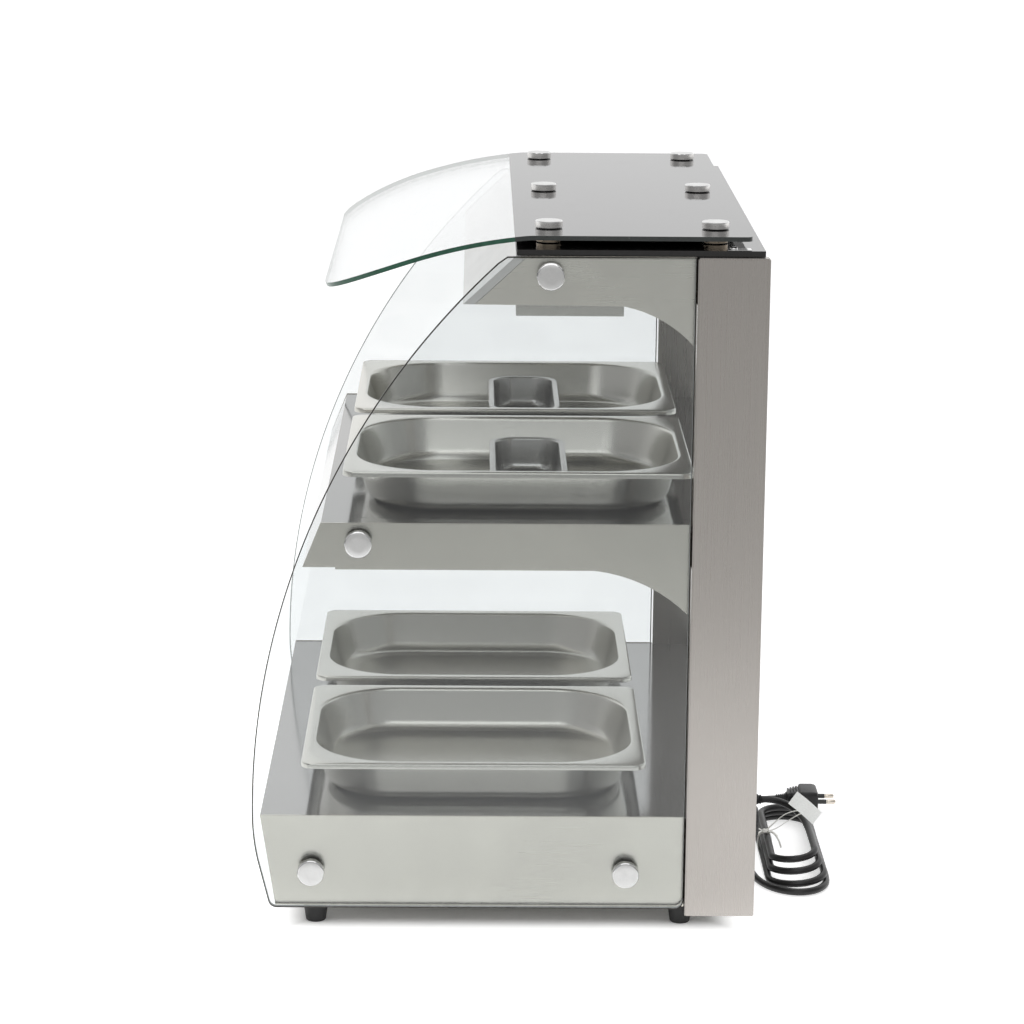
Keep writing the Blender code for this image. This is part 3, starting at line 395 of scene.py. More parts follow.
def lathe(bm, profile, turn, steps, wave=None, index=None):
    """Turns a (radius, height) profile that starts and ends on the axis.

    wave(row, angle) is added to the radius; index gives the bands of faces their materials, and
    those after its end keep the first.
    """
    rings = []
    for row, (radius, height) in enumerate(profile):
        if radius <= 0.0:
            rings.append([bm.verts.new(turn @ Vector((0.0, 0.0, height)))])
            continue
        ring = []
        for k in range(steps):
            a = math.tau * k / steps
            r = radius + (wave(row, a) if wave else 0.0)
            ring.append(bm.verts.new(turn @ Vector((r * math.cos(a), r * math.sin(a), height))))
        rings.append(ring)
    faces = []
    for first, second in zip(rings, rings[1:]):
        for k in range(steps):
            a = (k + 1) % steps
            if len(first) == 1:
                faces.append(bm.faces.new((first[0], second[k], second[a])))
            elif len(second) == 1:
                faces.append(bm.faces.new((first[k], second[0], first[a])))
            else:
                faces.append(bm.faces.new((first[k], second[k], second[a], first[a])))
    if index:
        for face_row, value in enumerate(index):
            for face in faces[face_row * steps:(face_row + 1) * steps]:
                face.material_index = value


def arc(centre, radius, start, end, count):
    """Points in a plane on an arc between two angles in degrees."""
    return [(centre[0] + radius * math.cos(math.radians(start + (end - start) * k / count)),
             centre[1] + radius * math.sin(math.radians(start + (end - start) * k / count)))
            for k in range(count + 1)]


def rounded_ring(half_x, half_y, radius, z, count):
    """A rectangle with round corners, as a closed ring of points."""
    ring = []
    for quarter, (sx, sy) in enumerate(((1, 1), (-1, 1), (-1, -1), (1, -1))):
        centre = (sx * (half_x - radius), sy * (half_y - radius))
        ring += [(x, y, z) for x, y in arc(centre, radius, 90 * quarter, 90 * quarter + 90, count)]
    return ring


def bar(bm, low, high, bevel, segments=2, turn=Matrix()):
    """A block with rounded edges between two corners."""
    made = bmesh.ops.create_cube(bm, size=1.0)["verts"]
    low, high = Vector(low), Vector(high)
    for vert in made:
        vert.co = turn @ Vector([(a + b) / 2 + v * (b - a)
                                 for a, b, v in zip(low, high, vert.co)])
    edges = list(dict.fromkeys(e for v in made for e in v.link_edges))
    bmesh.ops.bevel(bm, geom=edges, offset=bevel, segments=segments, affect="EDGES")


def eased(points, parts):
    """Points on a Catmull-Rom curve through the given ones, each stretch cut into parts."""
    points = [Vector(p) for p in points]
    ends = [points[0] * 2 - points[1]] + points + [points[-1] * 2 - points[-2]]
    made = []
    for before, first, second, after in zip(ends, ends[1:], ends[2:], ends[3:]):
        for k in range(parts):
            t = k / parts
            made.append(0.5 * (2 * first + (second - before) * t
                               + (2 * before - 5 * first + 4 * second - after) * t ** 2
                               + (3 * first - before - 3 * second + after) * t ** 3))
    return made + [points[-1]]


def spline_points(points, spacing):
    """Evenly spaced points along the eased curve, and its length."""
    fine = eased(points, 24)
    length = sum((b - a).length for a, b in zip(fine, fine[1:]))
    count = max(2, round(length / spacing))
    made, walked, step = [fine[0]], 0.0, length / count
    for a, b in zip(fine, fine[1:]):
        part = (b - a).length
        while part and walked + part >= step * len(made) - 1e-9 and len(made) < count:
            made.append(a.lerp(b, (step * len(made) - walked) / part))
        walked += part
    return made + [fine[-1]], length


def sweep(bm, points, section):
    """Moves a (sideways, upward) section along points."""
    rings = []
    for k, place in enumerate(points):
        ahead = (points[min(k + 1, len(points) - 1)] - points[max(k - 1, 0)]).normalized()
        side = ahead.cross(UP).normalized()
        over = side.cross(ahead)
        rings.append([place + side * u + over * v for u, v in section])
    bridge(bm, rings)


def band(bm, loop, section):
    """A flat band along a loop in the YZ plane; section is (across, outward)."""
    rings = []
    middle = sum(loop, Vector()) / len(loop)
    for place in loop:
        out = place - middle
        out.x = 0.0
        out.normalize()
        rings.append([place + Vector((u, 0.0, 0.0)) + out * v for u, v in section])
    bridge(bm, rings)


# ---- mains lead ----
def fold(centre, radius, start, end, z0, z1, count=9):
    """A turn of the cord, rising or falling evenly."""
    return [(x, y, z0 + (z1 - z0) * k / count)
            for k, (x, y) in enumerate(arc(centre, radius, start, end, count))]


def run(xs, y, z):
    """A straight stretch of the cord along X."""
    return [(x, y, z) for x in xs]


def hank_route():
    """The lead from the gland, down on to the hank, round its flat folds, and into the plug."""
    base, low, mid, high = 0.0039, 0.0112, 0.0185, 0.0258       # heights of the four layers
    route = list(LEAD_ROUTE)
    route += [(0.0580, 0.2985, 0.0312), (0.0800, 0.3020, 0.0278), (0.1050, 0.3030, 0.0262)]
    route += fold((0.1400, 0.2820), 0.0210, 90, -90, high, mid)
    route += run((0.1100, 0.0750, 0.0400), 0.2610, mid)
    route += fold((0.0120, 0.2836), 0.0226, 270, 90, mid, mid)
    route += run((0.0450, 0.0800, 0.1200), 0.3062, mid)
    route += fold((0.1520, 0.2826), 0.0236, 90, -90, mid, low)
    route += run((0.1200, 0.0800, 0.0400), 0.2590, low)
    route += fold((0.0080, 0.2845), 0.0255, 270, 90, low, low)
    route += run((0.0400, 0.0850, 0.1300), 0.3100, low)
    route += fold((0.1650, 0.2830), 0.0270, 90, -90, low, base)
    route += run((0.1300, 0.0850, 0.0400), 0.2560, base)
    route += fold((0.0040, 0.2843), 0.0283, 270, 90, base, base)
    route += run((0.0400, 0.0850, 0.1300), 0.3126, base)
    route += [(x, y, base) for x, y in (
        (0.1600, 0.3125), (0.1820, 0.3100), (0.1985, 0.3000), (0.2055, 0.2840), (0.2010, 0.2670),
        (0.1880, 0.2535), (0.1700, 0.2450), (0.1500, 0.2408), (0.1250, 0.2395), (0.0900, 0.2392),
        (0.0500, 0.2395), (0.0100, 0.2400), (-0.0150, 0.2400))]
    route += fold((-0.0330, 0.2640), 0.0240, 270, 180, base, 0.0105, 6)
    route += [(-0.0570, 0.2740, 0.0121), tuple(PLUG + Vector((0.0, 0.0015, 0.0)))]
    return route


def make_plug():
    """Body, ribbed sleeve and two round pins; sections are (depth, half x, half z, roundness)."""
    bm = bmesh.new()
    sections = [(0.0100, 0.0066, 0.0064, 0.9), (0.0118, 0.0078, 0.0074, 0.8)]
    for k in range(4):
        start, wide, tall = 0.0124 + 0.0030 * k, 0.0118 + 0.0012 * k, 0.0092 + 0.0005 * k
        sections += [(start, wide, tall, 0.45),
                     (start + 0.0016, wide + 0.0003, tall + 0.0001, 0.45),
                     (start + 0.0019, wide - 0.0011, tall - 0.0010, 0.45),
                     (start + 0.0026, wide - 0.0010, tall - 0.0009, 0.45)]
    sections += [(0.0248, 0.0170, 0.0112, 0.40), (0.0262, 0.0180, 0.0120, 0.34),
                 (0.0385, 0.0180, 0.0120, 0.34), (0.0418, 0.0172, 0.0113, 0.36),
                 (0.0430, 0.0160, 0.0102, 0.40)]
    bridge(bm, [[PLUG + Vector((x, d, z)) for x, z, _ in rounded_ring(a, b, min(a, b) * r, 0.0, 8)]
                for d, a, b, r in sections])
    body = finished("plug_body", bm, 35.0, "black_plastic", PLUG_BLACK)
    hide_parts("power_plug")

    ribs = [(0.0, 0.0), (0.0042, 0.0)]
    for k in range(6):
        radius = 0.0047 + 0.00028 * k
        ribs += [(radius, 0.0004 + 0.0020 * k), (radius, 0.0014 + 0.0020 * k),
                 (radius - 0.0009, 0.0016 + 0.0020 * k), (radius - 0.0009, 0.0022 + 0.0020 * k)]
    ribs += [(0.0060, 0.0126), (0.0, 0.0126)]
    sleeve = turned("plug_sleeve", ribs, at(*PLUG) @ TO_REAR, 32, 30.0, "black_plastic", PLUG_BLACK)

    bm = bmesh.new()
    pin = [(0.0, 0.0420), (0.0024, 0.0420), (0.0024, 0.0520), (0.00205, 0.0523), (0.00205, 0.0530),
           (0.0024, 0.0533), (0.0024, 0.0604), (0.0019, 0.0615), (0.0010, 0.0620), (0.0, 0.0620)]
    index = (0, 0, 0, 1, 1, 1, 1, 1, 1)
    for x in (-0.0095, 0.0095):
        lathe(bm, pin, at(PLUG.x + x, PLUG.y, PLUG.z) @ TO_REAR, 24, index=index)
    pins = finished("plug_pins", bm, 35.0, "satin_metal", PIN_SLEEVE, PIN_METAL)
    return [body, sleeve, pins]


def make_strain_relief():
    """The gland's collar and its ribbed, tapering sleeve."""
    taper = [(0.0, 0.2254), (0.0100, 0.2254), (0.0105, 0.2259), (0.0105, 0.2282), (0.0100, 0.2288),
             (0.0078, 0.2292), (0.0074, 0.2330)]
    for k in range(7):
        radius = 0.0072 - 0.00030 * k
        taper += [(radius, 0.2334 + 0.0034 * k), (radius - 0.0001, 0.2352 + 0.0034 * k),
                  (radius - 0.0011, 0.2354 + 0.0034 * k), (radius - 0.0012, 0.2364 + 0.0034 * k)]
    taper += [(0.0048, 0.2576), (0.0046, 0.2588), (0.0036, 0.2590), (0.0, 0.2590)]
    relief = turned("strain_relief", taper, at(GLAND.x, 0.0, GLAND.z) @ TO_REAR, 36, 30.0,
                    "black_plastic", PLUG_BLACK)
    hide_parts("cable_gland")
    return [relief]


def make_tie():
    """A white strip wound round two runs of the hank, its twisted ends, and a blank card tag."""
    strip = [(-0.0022, -0.00018), (0.0022, -0.00018), (0.0024, 0.0), (0.0022, 0.00018),
             (-0.0022, 0.00018), (-0.0024, 0.0)]
    bm = bmesh.new()
    for x, lean, swell in ((0.0790, 0.0015, 0.0), (0.0815, -0.0020, 0.0005)):
        loop = []
        for k in range(33):
            a = math.tau * k / 32
            wide, tall = 0.0066 + swell, 0.0112 + swell
            y = 0.2588 + math.copysign(abs(math.cos(a)) ** 0.8, math.cos(a)) * wide
            z = 0.0114 + swell + math.copysign(abs(math.sin(a)) ** 0.8, math.sin(a)) * tall
            loop.append(Vector((x + lean * math.sin(a), y, max(z, 0.0003))))
        band(bm, loop, strip)
    card = Vector((0.0820, 0.2985, 0.0485))
    reach, across = Vector((0.0020, 0.0125, -0.0105)), Vector((-0.0065, 0.0050, 0.0042))
    knot_top = (0.0800, 0.2590, 0.0228)
    ends = ((knot_top, (0.0780, 0.2660, 0.0290), (0.0785, 0.2780, 0.0400),
             (0.0820, 0.2890, 0.0455), card - across * 0.5),
            ((0.0805, 0.2595, 0.0228), (0.0825, 0.2700, 0.0270), (0.0855, 0.2820, 0.0365),
             (0.0860, 0.2920, 0.0430), card - across * 0.3 + reach * 0.2),
            ((0.0805, 0.2600, 0.0228), (0.0890, 0.2668, 0.0240), (0.0950, 0.2715, 0.0190),
             (0.0985, 0.2740, 0.0120)),
            (knot_top, (0.0860, 0.2545, 0.0250), (0.0930, 0.2500, 0.0242),
             (0.0980, 0.2440, 0.0200)),
            (knot_top, (0.0860, 0.2650, 0.0252), (0.0960, 0.2700, 0.0235)),
            ((0.0800, 0.2585, 0.0228), (0.0740, 0.2500, 0.0252), (0.0690, 0.2420, 0.0240)))
    for k, end in enumerate(ends):
        points, _ = spline_points(end, 0.0016)
        sweep(bm, points, [(u * (0.5 if k > 1 else 0.6), v) for u, v in strip])
    knot = [(0.0, 0.0218), (0.0024, 0.0221), (0.0036, 0.0232), (0.0032, 0.0246), (0.0017, 0.0254),
            (0.0, 0.0256)]
    lathe(bm, knot, at(0.0800, 0.2590, 0.0), 20,
          wave=lambda row, a: 0.0004 * math.sin(3 * a + row))
    tie = finished("twist_tie", bm, 50.0, "satin_metal", TIE_WHITE)

    bm = bmesh.new()
    face = reach.cross(across).normalized()
    rings = []
    for k in range(9):
        t = k / 8
        place = card + reach * (2 * t - 1) + face * (0.0010 * math.sin(math.pi * t))
        rings.append([place - across, place + across, place + across + face * 0.0004,
                      place - across + face * 0.0004])
    bridge(bm, rings)
    tag = finished("blank_tag", bm, 50.0, "satin_metal", TAG_CARD)
    return [tie, tag]


def make_lead():
    """The cord, its two ends and what ties it."""
    points, length = spline_points(hank_route(), 0.0045)
    curve = bpy.data.curves.new("mains_cord", "CURVE")
    curve.dimensions = "3D"
    curve.bevel_depth = CORD_RADIUS
    curve.bevel_resolution = 5
    curve.use_fill_caps = True
    spline = curve.splines.new("POLY")
    spline.points.add(len(points) - 1)
    spline.use_smooth = True
    for point, place in zip(spline.points, points):
        point.co = (*place, 1.0)
    cord = bpy.data.objects.new("mains_cord", curve)
    ROOT.objects.link(cord)
    dress(cord, "case", "cord_jacket", JACKET)
    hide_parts("power_cord", "cord_hank")
    make_plug() + make_strain_relief() + make_tie()


# ---- finishes ----
ALONG_X, ALONG_Y, ALONG_Z = (5.0, 900.0, 900.0), (900.0, 5.0, 900.0), (900.0, 900.0, 5.0)
SATIN = (420.0, 420.0, 420.0)
PANEL = metal("side_panel_steel", (0.635, 0.617, 0.560), 0.25, ALONG_Y, 0.010, 0.016, 6.0,
              0.000001, 0.03)
# Painted light: the hood's side panels are the same steel as the lower side panels in a lighter
# colour, brightening them where they reflect the dim part of the room; their stronger patches are
# stains.
LIT_STAINED_HOOD_PANEL = metal("hood_panel_steel", (0.790, 0.765, 0.700), 0.28, ALONG_Y, 0.010, 0.024, 9.0,
                   0.000001, 0.03)
# Painted highlight: the same sheet steel as the cross sheets in a lighter colour, so that the bent
# return at the near end of the hood front shows as a bright strip.
HIGHLIGHTED_FRONT_SHEET = metal("hood_front_steel_painted_highlight", (0.74, 0.735, 0.72), 0.33, ALONG_X, 0.02, 0.010,
                    relief=0.000002)
SHEET_X = metal("cross_sheet_steel", (0.56, 0.555, 0.53), 0.28, ALONG_X, 0.04, 0.015,
                relief=0.000006)
UPRIGHT = metal("pillar_steel", (0.450, 0.424, 0.400), 0.28, ALONG_Z, 0.014, 0.008, 5.0,
                0.000001, 0.03)
DECK = metal("deck_steel_polished", (0.34, 0.338, 0.332), 0.09, ALONG_Y, 0.012, 0.010, 5.0,
             0.0000004, 0.02)
SHELF = metal("shelf_steel_polished", (0.27, 0.268, 0.262), 0.10, ALONG_Y, 0.012, 0.010, 5.0,
              0.0000004, 0.02)
# Painted shade: the cups are the same satin steel as the pans in a darker colour, standing in for
# the shade inside the upper pans.
SHADED_INSERT = metal("insert_steel_satin_shaded", (0.40, 0.398, 0.384), 0.22, SATIN, 0.010, 0.005, 12.0,
               0.0000001, 0.02)
PAN = metal("pan_steel_satin", (0.59, 0.583, 0.543), 0.24, SATIN, 0.010, 0.005, 12.0,
            0.0000001, 0.02)
TURNED = metal("turned_steel", (0.80, 0.785, 0.77), 0.27, (40.0, 40.0, 1500.0), 0.10, 0.02, 60.0)
CAP_FACE = metal("cap_face_steel", (0.66, 0.66, 0.655), 0.33, (700.0, 700.0, 700.0), 0.05, 0.02,
                 80.0)
POLISHED = metal("polished_rim", (0.70, 0.70, 0.70), 0.08, (300.0, 300.0, 300.0), 0.04, 0.02, 60.0)
SPACER = metal("spacer_steel", (0.55, 0.46, 0.36), 0.20, (60.0, 60.0, 1500.0), 0.12, 0.02, 60.0)
TRACK = metal("drawn_aluminium", (0.66, 0.66, 0.66), 0.34, ALONG_X, 0.08, 0.02)
ZINC = metal("zinc_plate", (0.58, 0.58, 0.56), 0.40, (120.0, 120.0, 120.0), 0.10, 0.05, 40.0)
SHEATH = metal("heater_sheath", (0.20, 0.19, 0.18), 0.45, (300.0, 300.0, 300.0), 0.20, 0.05, 30.0)
PIN_METAL = metal("pin_nickel", (0.72, 0.66, 0.58), 0.22, (200.0, 200.0, 200.0), 0.06, 0.02, 60.0)
BLACK_PANE = coated("black_pane", (0.020, 0.019, 0.019), 0.04, 0.15, 0.0, 300.0, 0.5, 0.0, 0.02,
                    0.2)
BLACK_EDGE = coated("black_pane_edge", (0.032, 0.036, 0.035), 0.18, 0.2, 0.00001, 500.0, 0.5)
GREEN_EDGE = coated("green_glass_edge", (0.024, 0.082, 0.053), 0.16, 0.20, 0.00001, 160.0, 0.3, 0.1)
SIDE_EDGE = coated("side_glass_edge", (0.030, 0.027, 0.023), 0.30, 0.25, 0.00001, 160.0, 0.12, 0.0)
SIDE_ARRIS = coated("side_glass_arris", (0.46, 0.49, 0.48), 0.25, 0.10, 0.00001, 160.0, 0.5, 0.2,
                    wear=0.1)
CANOPY_PANE = pane("canopy_pane_clear", (0.880, 0.889, 0.893))
SIDE_PANE = pane("side_pane_clear", (0.934, 0.943, 0.945))
DOOR_PANE = pane("door_pane_clear", (0.950, 0.962, 0.960))
RUBBER = coated("foot_rubber", (0.013, 0.013, 0.013), 0.60)
PLUG_BLACK = coated("moulded_black", (0.010, 0.010, 0.011), 0.36, specular=0.4)
KNOB_BLACK = coated("knob_black", (0.020, 0.020, 0.021), 0.42)
JACKET = coated("cable_jacket", (0.011, 0.0105, 0.011), 0.34, 0.2, 0.00002, 700.0, 0.45)
PIN_SLEEVE = coated("pin_sleeve", (0.03, 0.03, 0.03), 0.35)
TIE_WHITE = coated("tie_white", (0.86, 0.85, 0.81), 0.42, 0.06, 0.00003, 500.0, wear=0.1)
TAG_CARD = coated("tag_card", (0.90, 0.91, 0.89), 0.60, 0.05, 0.00003, 600.0, wear=0.1)
MARKS = coated("printed_marks", (0.03, 0.03, 0.03), 0.5)
POINTER = coated("pointer_white", (0.75, 0.75, 0.73), 0.4, 0.05, wear=0.1)
RED = coated("rocker_red", (0.42, 0.018, 0.015), 0.16, 0.12, 0.00001, coat=0.7, wear=0.1)
GREEN = coated("rocker_green", (0.020, 0.26, 0.06), 0.16, 0.12, 0.00001, coat=0.7, wear=0.1)
QUARTZ = coated("lamp_quartz", (0.66, 0.64, 0.58), 0.14, 0.08, 0.000005, coat=0.8, wear=0.1)
CERAMIC = coated("lamp_ceramic", (0.60, 0.58, 0.53), 0.55, 0.08, wear=0.1)

make_lead()
make_room()
make_floor()
make_lamps()


# ---- glass ----
def drill(obj, places, turn=Matrix()):
    """Cuts the fixings' round holes at (x, y, z), along the turned Z axis."""
    bm = bmesh.new()
    for place in places:
        bmesh.ops.create_cone(bm, cap_ends=True, segments=40, radius1=FIXING_HOLE,
                              radius2=FIXING_HOLE, depth=0.03, matrix=at(*place) @ turn)
    cutter = new_object(obj.name + "_cutter", bm)
    modifier = obj.modifiers.new("holes", "BOOLEAN")
    modifier.operation = "DIFFERENCE"
    modifier.solver = "EXACT"
    modifier.object = cutter
    settle(obj, 35.0, True)
    bpy.data.objects.remove(cutter, do_unlink=True)


def canopy_place(distance):
    """(back, z) on the upper face of the top glass, this far from its rear edge."""
    flat = CANOPY_REAR - CANOPY_BEND
    if distance <= flat:
        return CANOPY_REAR - distance, CANOPY_TOP
    y, z, heading, left = CANOPY_BEND, CANOPY_TOP, 0.0, distance - flat
    for radius, turn in (CANOPY_KNEE, CANOPY_BOW):
        step = min(left / radius, turn)
        y -= radius * (math.sin(heading + step) - math.sin(heading))
        z -= radius * (math.cos(heading) - math.cos(heading + step))
        heading += step
        left -= step * radius
    return y, z


def canopy_rows():
    """(distance from the rear edge, half width) over the top glass; one row is the print's edge."""
    flat = CANOPY_REAR - CANOPY_BEND
    knee = flat + CANOPY_KNEE[0] * CANOPY_KNEE[1]
    length = knee + CANOPY_BOW[0] * CANOPY_BOW[1]
    low, high = flat, length
    for _ in range(40):
        middle = (low + high) / 2
        low, high = (middle, high) if canopy_place(middle)[0] > PRINT_EDGE else (low, middle)
    corner = 0.006
    rows = [(corner * (1 - math.cos(math.radians(15 * k))),
             CANOPY_HALF - corner * (1 - math.sin(math.radians(15 * k)))) for k in range(7)]
    straight = length - CANOPY_CORNER
    rows += [(flat + (knee - flat) * k / 4, CANOPY_HALF) for k in range(5)]
    rows.append((low, CANOPY_HALF))
    rows += [(low + (straight - low) * k / 16, CANOPY_HALF) for k in range(1, 17)]
    for k in range(1, 31):
        turn = math.radians(3 * k)
        rows.append((length - CANOPY_CORNER * (1 - math.sin(turn)),
                     CANOPY_HALF - CANOPY_CORNER * (1 - math.cos(turn))))
    return rows


def make_canopy():
    """The curved top glass: clear in front, printed black behind, with green and dark edges."""
    bm = bmesh.new()
    bands = []
    for distance, half in canopy_rows():
        d, z = canopy_place(distance)
        bands.append([bm.verts.new((x, back(d), z)) for x in (half, -half)])
    for first, second in zip(bands, bands[1:]):
        bm.faces.new((first[0], first[1], second[1], second[0]))
    pane_piece = new_object("canopy_pane", bm)
    solid = pane_piece.modifiers.new("thickness", "SOLIDIFY")
    solid.thickness = CANOPY_THICK
    solid.offset = -1.0
    solid.use_even_offset = True
    edge = pane_piece.modifiers.new("polish", "BEVEL")
    edge.width = 0.0006
    edge.segments = 2
    edge.limit_method = "ANGLE"
    edge.angle_limit = math.radians(60)
    places = [(x, y, CANOPY_TOP) for _, x in STANDOFFS for _, y in STANDOFF_ROWS]
    drill(pane_piece, places)
    dress(pane_piece, "case", "clear_glass", CANOPY_PANE, BLACK_PANE, GREEN_EDGE, BLACK_EDGE)
    for face in pane_piece.data.polygons:
        printed = face.center.y > back(PRINT_EDGE) - 0.0001
        broad = abs(face.normal.z) > 0.8
        face.material_index = (0 if broad else 2) + (1 if printed else 0)
    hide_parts("canopy_glass")


def side_outline():
    """(back, z) round the side glass."""
    bow_radius, tuck_radius, tuck, nose = 0.7120, 0.2160, 12.0, -0.0070
    centre = (nose + bow_radius, 0.1160)
    start = 180 - math.degrees(math.asin((GLASS_TOP_EDGE - 0.006 - centre[1]) / bow_radius))
    bow = arc(centre, bow_radius, start, 180, 64)
    lower = arc((nose + tuck_radius, centre[1]), tuck_radius, 180, 180 + tuck, 10)[1:]
    foot_front = lower[-1][0] + (lower[-1][1] - SIDE_GLASS_BOTTOM) * math.tan(math.radians(tuck))
    corner = 0.008
    foot = arc((foot_front + corner * 0.98, SIDE_GLASS_BOTTOM + corner), corner, 192, 270, 8)
    heel = arc((SIDE_GLASS_REAR - corner, SIDE_GLASS_BOTTOM + corner), corner, 270, 360, 8)
    return bow + lower + foot + heel + [(SIDE_GLASS_REAR, GLASS_TOP_EDGE),
                                        (bow[0][0] + 0.0085, GLASS_TOP_EDGE)]


def inset(outline, amount):
    """The outline moved inwards, square to itself; it runs round with its inside on the left."""
    moved = []
    for k, (d, z) in enumerate(outline):
        before, after = outline[k - 1], outline[(k + 1) % len(outline)]
        along = Vector((after[0] - before[0], after[1] - before[1])).normalized()
        moved.append((d - along.y * amount, z + along.x * amount))
    return moved


def make_side_glass():
    """Two flat panes with a bowed front edge and a narrow bevel all round."""
    outline = side_outline()
    for side, word in ((-1, "left"), (1, "right")):
        rims = []
        for amount, x in ((0.0010, SIDE_GLASS_INNER), (0.0, SIDE_GLASS_INNER + 0.0008),
                          (0.0, SIDE_GLASS_OUTER - 0.0008), (0.0010, SIDE_GLASS_OUTER)):
            rims.append([(side * x, back(d), z) for d, z in inset(outline, amount)])
        bm = bmesh.new()
        bridge(bm, rims)
        bmesh.ops.recalc_face_normals(bm, faces=bm.faces)
        glass = new_object("side_pane_" + word, bm)
        middle = side * (SIDE_GLASS_INNER + SIDE_GLASS_OUTER) / 2
        places = [(middle, y, z) for _, y, z in SIDE_FIXINGS]
        drill(glass, places, Matrix.Rotation(math.pi / 2, 4, "Y"))
        dress(glass, "case", "clear_glass", SIDE_PANE, SIDE_EDGE, SIDE_ARRIS)
        for face in glass.data.polygons:
            outwards = face.normal.x * side
            face.material_index = 0 if abs(outwards) > 0.95 else 2 if outwards < -0.3 else 1
        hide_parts("side_glass_" + word)


# ---- turned fixings ----
def make_standoffs():
    """The profile runs down a cap, through the glass and plate, to the nut below."""
    top, glass_low = 0.6675, CANOPY_TOP - CANOPY_THICK
    r = CAP_RADIUS
    cap = [(0.0, top), (0.0060, top), (r - 0.0009, top), (r - 0.0004, top - 0.0002),
           (r, top - 0.0009), (r, CANOPY_TOP + 0.0011), (r - 0.0006, CANOPY_TOP + 0.0004),
           (0.0052, CANOPY_TOP + 0.0003), (0.0050, CANOPY_TOP + 0.0001),
           (0.0050, glass_low - 0.0004), (r - 0.0014, glass_low - 0.0004),
           (r - 0.0010, glass_low - 0.0007), (r - 0.0010, 0.6484), (r - 0.0014, 0.6480),
           (0.0030, 0.6478), (0.0030, 0.6421), (0.0050, 0.6421), (0.0050, 0.6384),
           (0.0044, 0.6379), (0.0, 0.6379)]
    index = [1, 1, 2, 2, 0, 2, 2, 0, 0, 3, 3, 3, 3]
    for word, x in STANDOFFS:
        for place, y in STANDOFF_ROWS:
            piece = turned("glass_standoff_%s_%s" % (place, word), cap, at(x, y, 0.0), 64, 25.0,
                           "satin_metal", TURNED, CAP_FACE, POLISHED, SPACER, index=index)
            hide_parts("canopy_standoff_%s_%s" % (place, word))


def make_side_fixings():
    """The same cap on each side glass; the profile runs inwards to the nut behind the panel."""
    r = CAP_RADIUS
    out = SIDE_GLASS_OUTER + 0.0080
    low = SIDE_GLASS_OUTER + 0.0003
    fixing = [(0.0, out), (0.0060, out), (r - 0.0013, out), (r - 0.0006, out - 0.0003),
              (r, out - 0.0011), (r, low + 0.0006), (r - 0.0005, low), (0.0051, low),
              (0.0050, low - 0.0002), (0.0050, SIDE_GLASS_INNER - 0.0003),
              (0.0088, SIDE_GLASS_INNER - 0.0003), (0.0090, SIDE_GLASS_INNER - 0.0006),
              (0.0090, 0.3055), (0.0088, 0.3053), (0.0030, 0.3053), (0.0030, 0.3035),
              (0.0055, 0.3035), (0.0055, 0.2995), (0.0050, 0.2990), (0.0, 0.2990)]
    index = [1, 1, 2, 2, 2, 2, 0, 0, 0, 3, 3, 3, 3]
    for side, word in ((-1, "left"), (1, "right")):
        for place, y, z in SIDE_FIXINGS:
            turn = at(0.0, y, z) @ Matrix.Rotation(side * math.pi / 2, 4, "Y")
            piece = turned("side_button_%s_%s" % (place, word), fixing, turn, 64, 25.0,
                           "satin_metal", TURNED, CAP_FACE, POLISHED, ZINC, index=index)
            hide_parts("side_fixing_%s_%s" % (place, word))


def make_feet():
    """Four rubber feet, hollow underneath."""
    for word, y in FOOT_ROWS:
        for side, hand in ((-1, "left"), (1, "right")):
            low, high = (corner.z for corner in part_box("foot_%s_%s" % (word, hand)))
            profile = [(0.0, low), (0.0060, low), (0.0064, low + 0.0008), (0.0078, low + 0.0008),
                       (0.0082, low), (0.0088, low), (0.0095, low + 0.0008),
                       (0.0104, low + 0.0070), (0.0113, low + 0.0130), (0.0120, high - 0.0035),
                       (0.0125, high - 0.0026), (0.0125, high - 0.0008), (0.0121, high - 0.0002),
                       (0.0, high)]
            piece = turned("rubber_foot_%s_%s" % (word, hand), profile, at(side * FOOT_X, y, 0.0),
                           48, 35.0, "rubber", RUBBER)
            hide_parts("foot_%s_%s" % (word, hand))


# ---- pans and cups ----
def pressed(name, rows, half, place, count):
    """A pressed tray; rows are (inwards, corner radius, height) from the lip down to the floor."""
    bm = bmesh.new()
    rings = [rounded_ring(half[0] - inwards, half[1] - inwards, radius, z, count)
             for inwards, radius, z in rows]
    bridge(bm, [[Vector(p) + place for p in ring] for ring in rings], open_start=True)
    tray = new_object(name, bm)
    solid = tray.modifiers.new("sheet", "SOLIDIFY")
    solid.thickness = TRAY_SHEET
    solid.offset = -1.0
    solid.use_even_offset = True
    return settle(tray, 42.0)


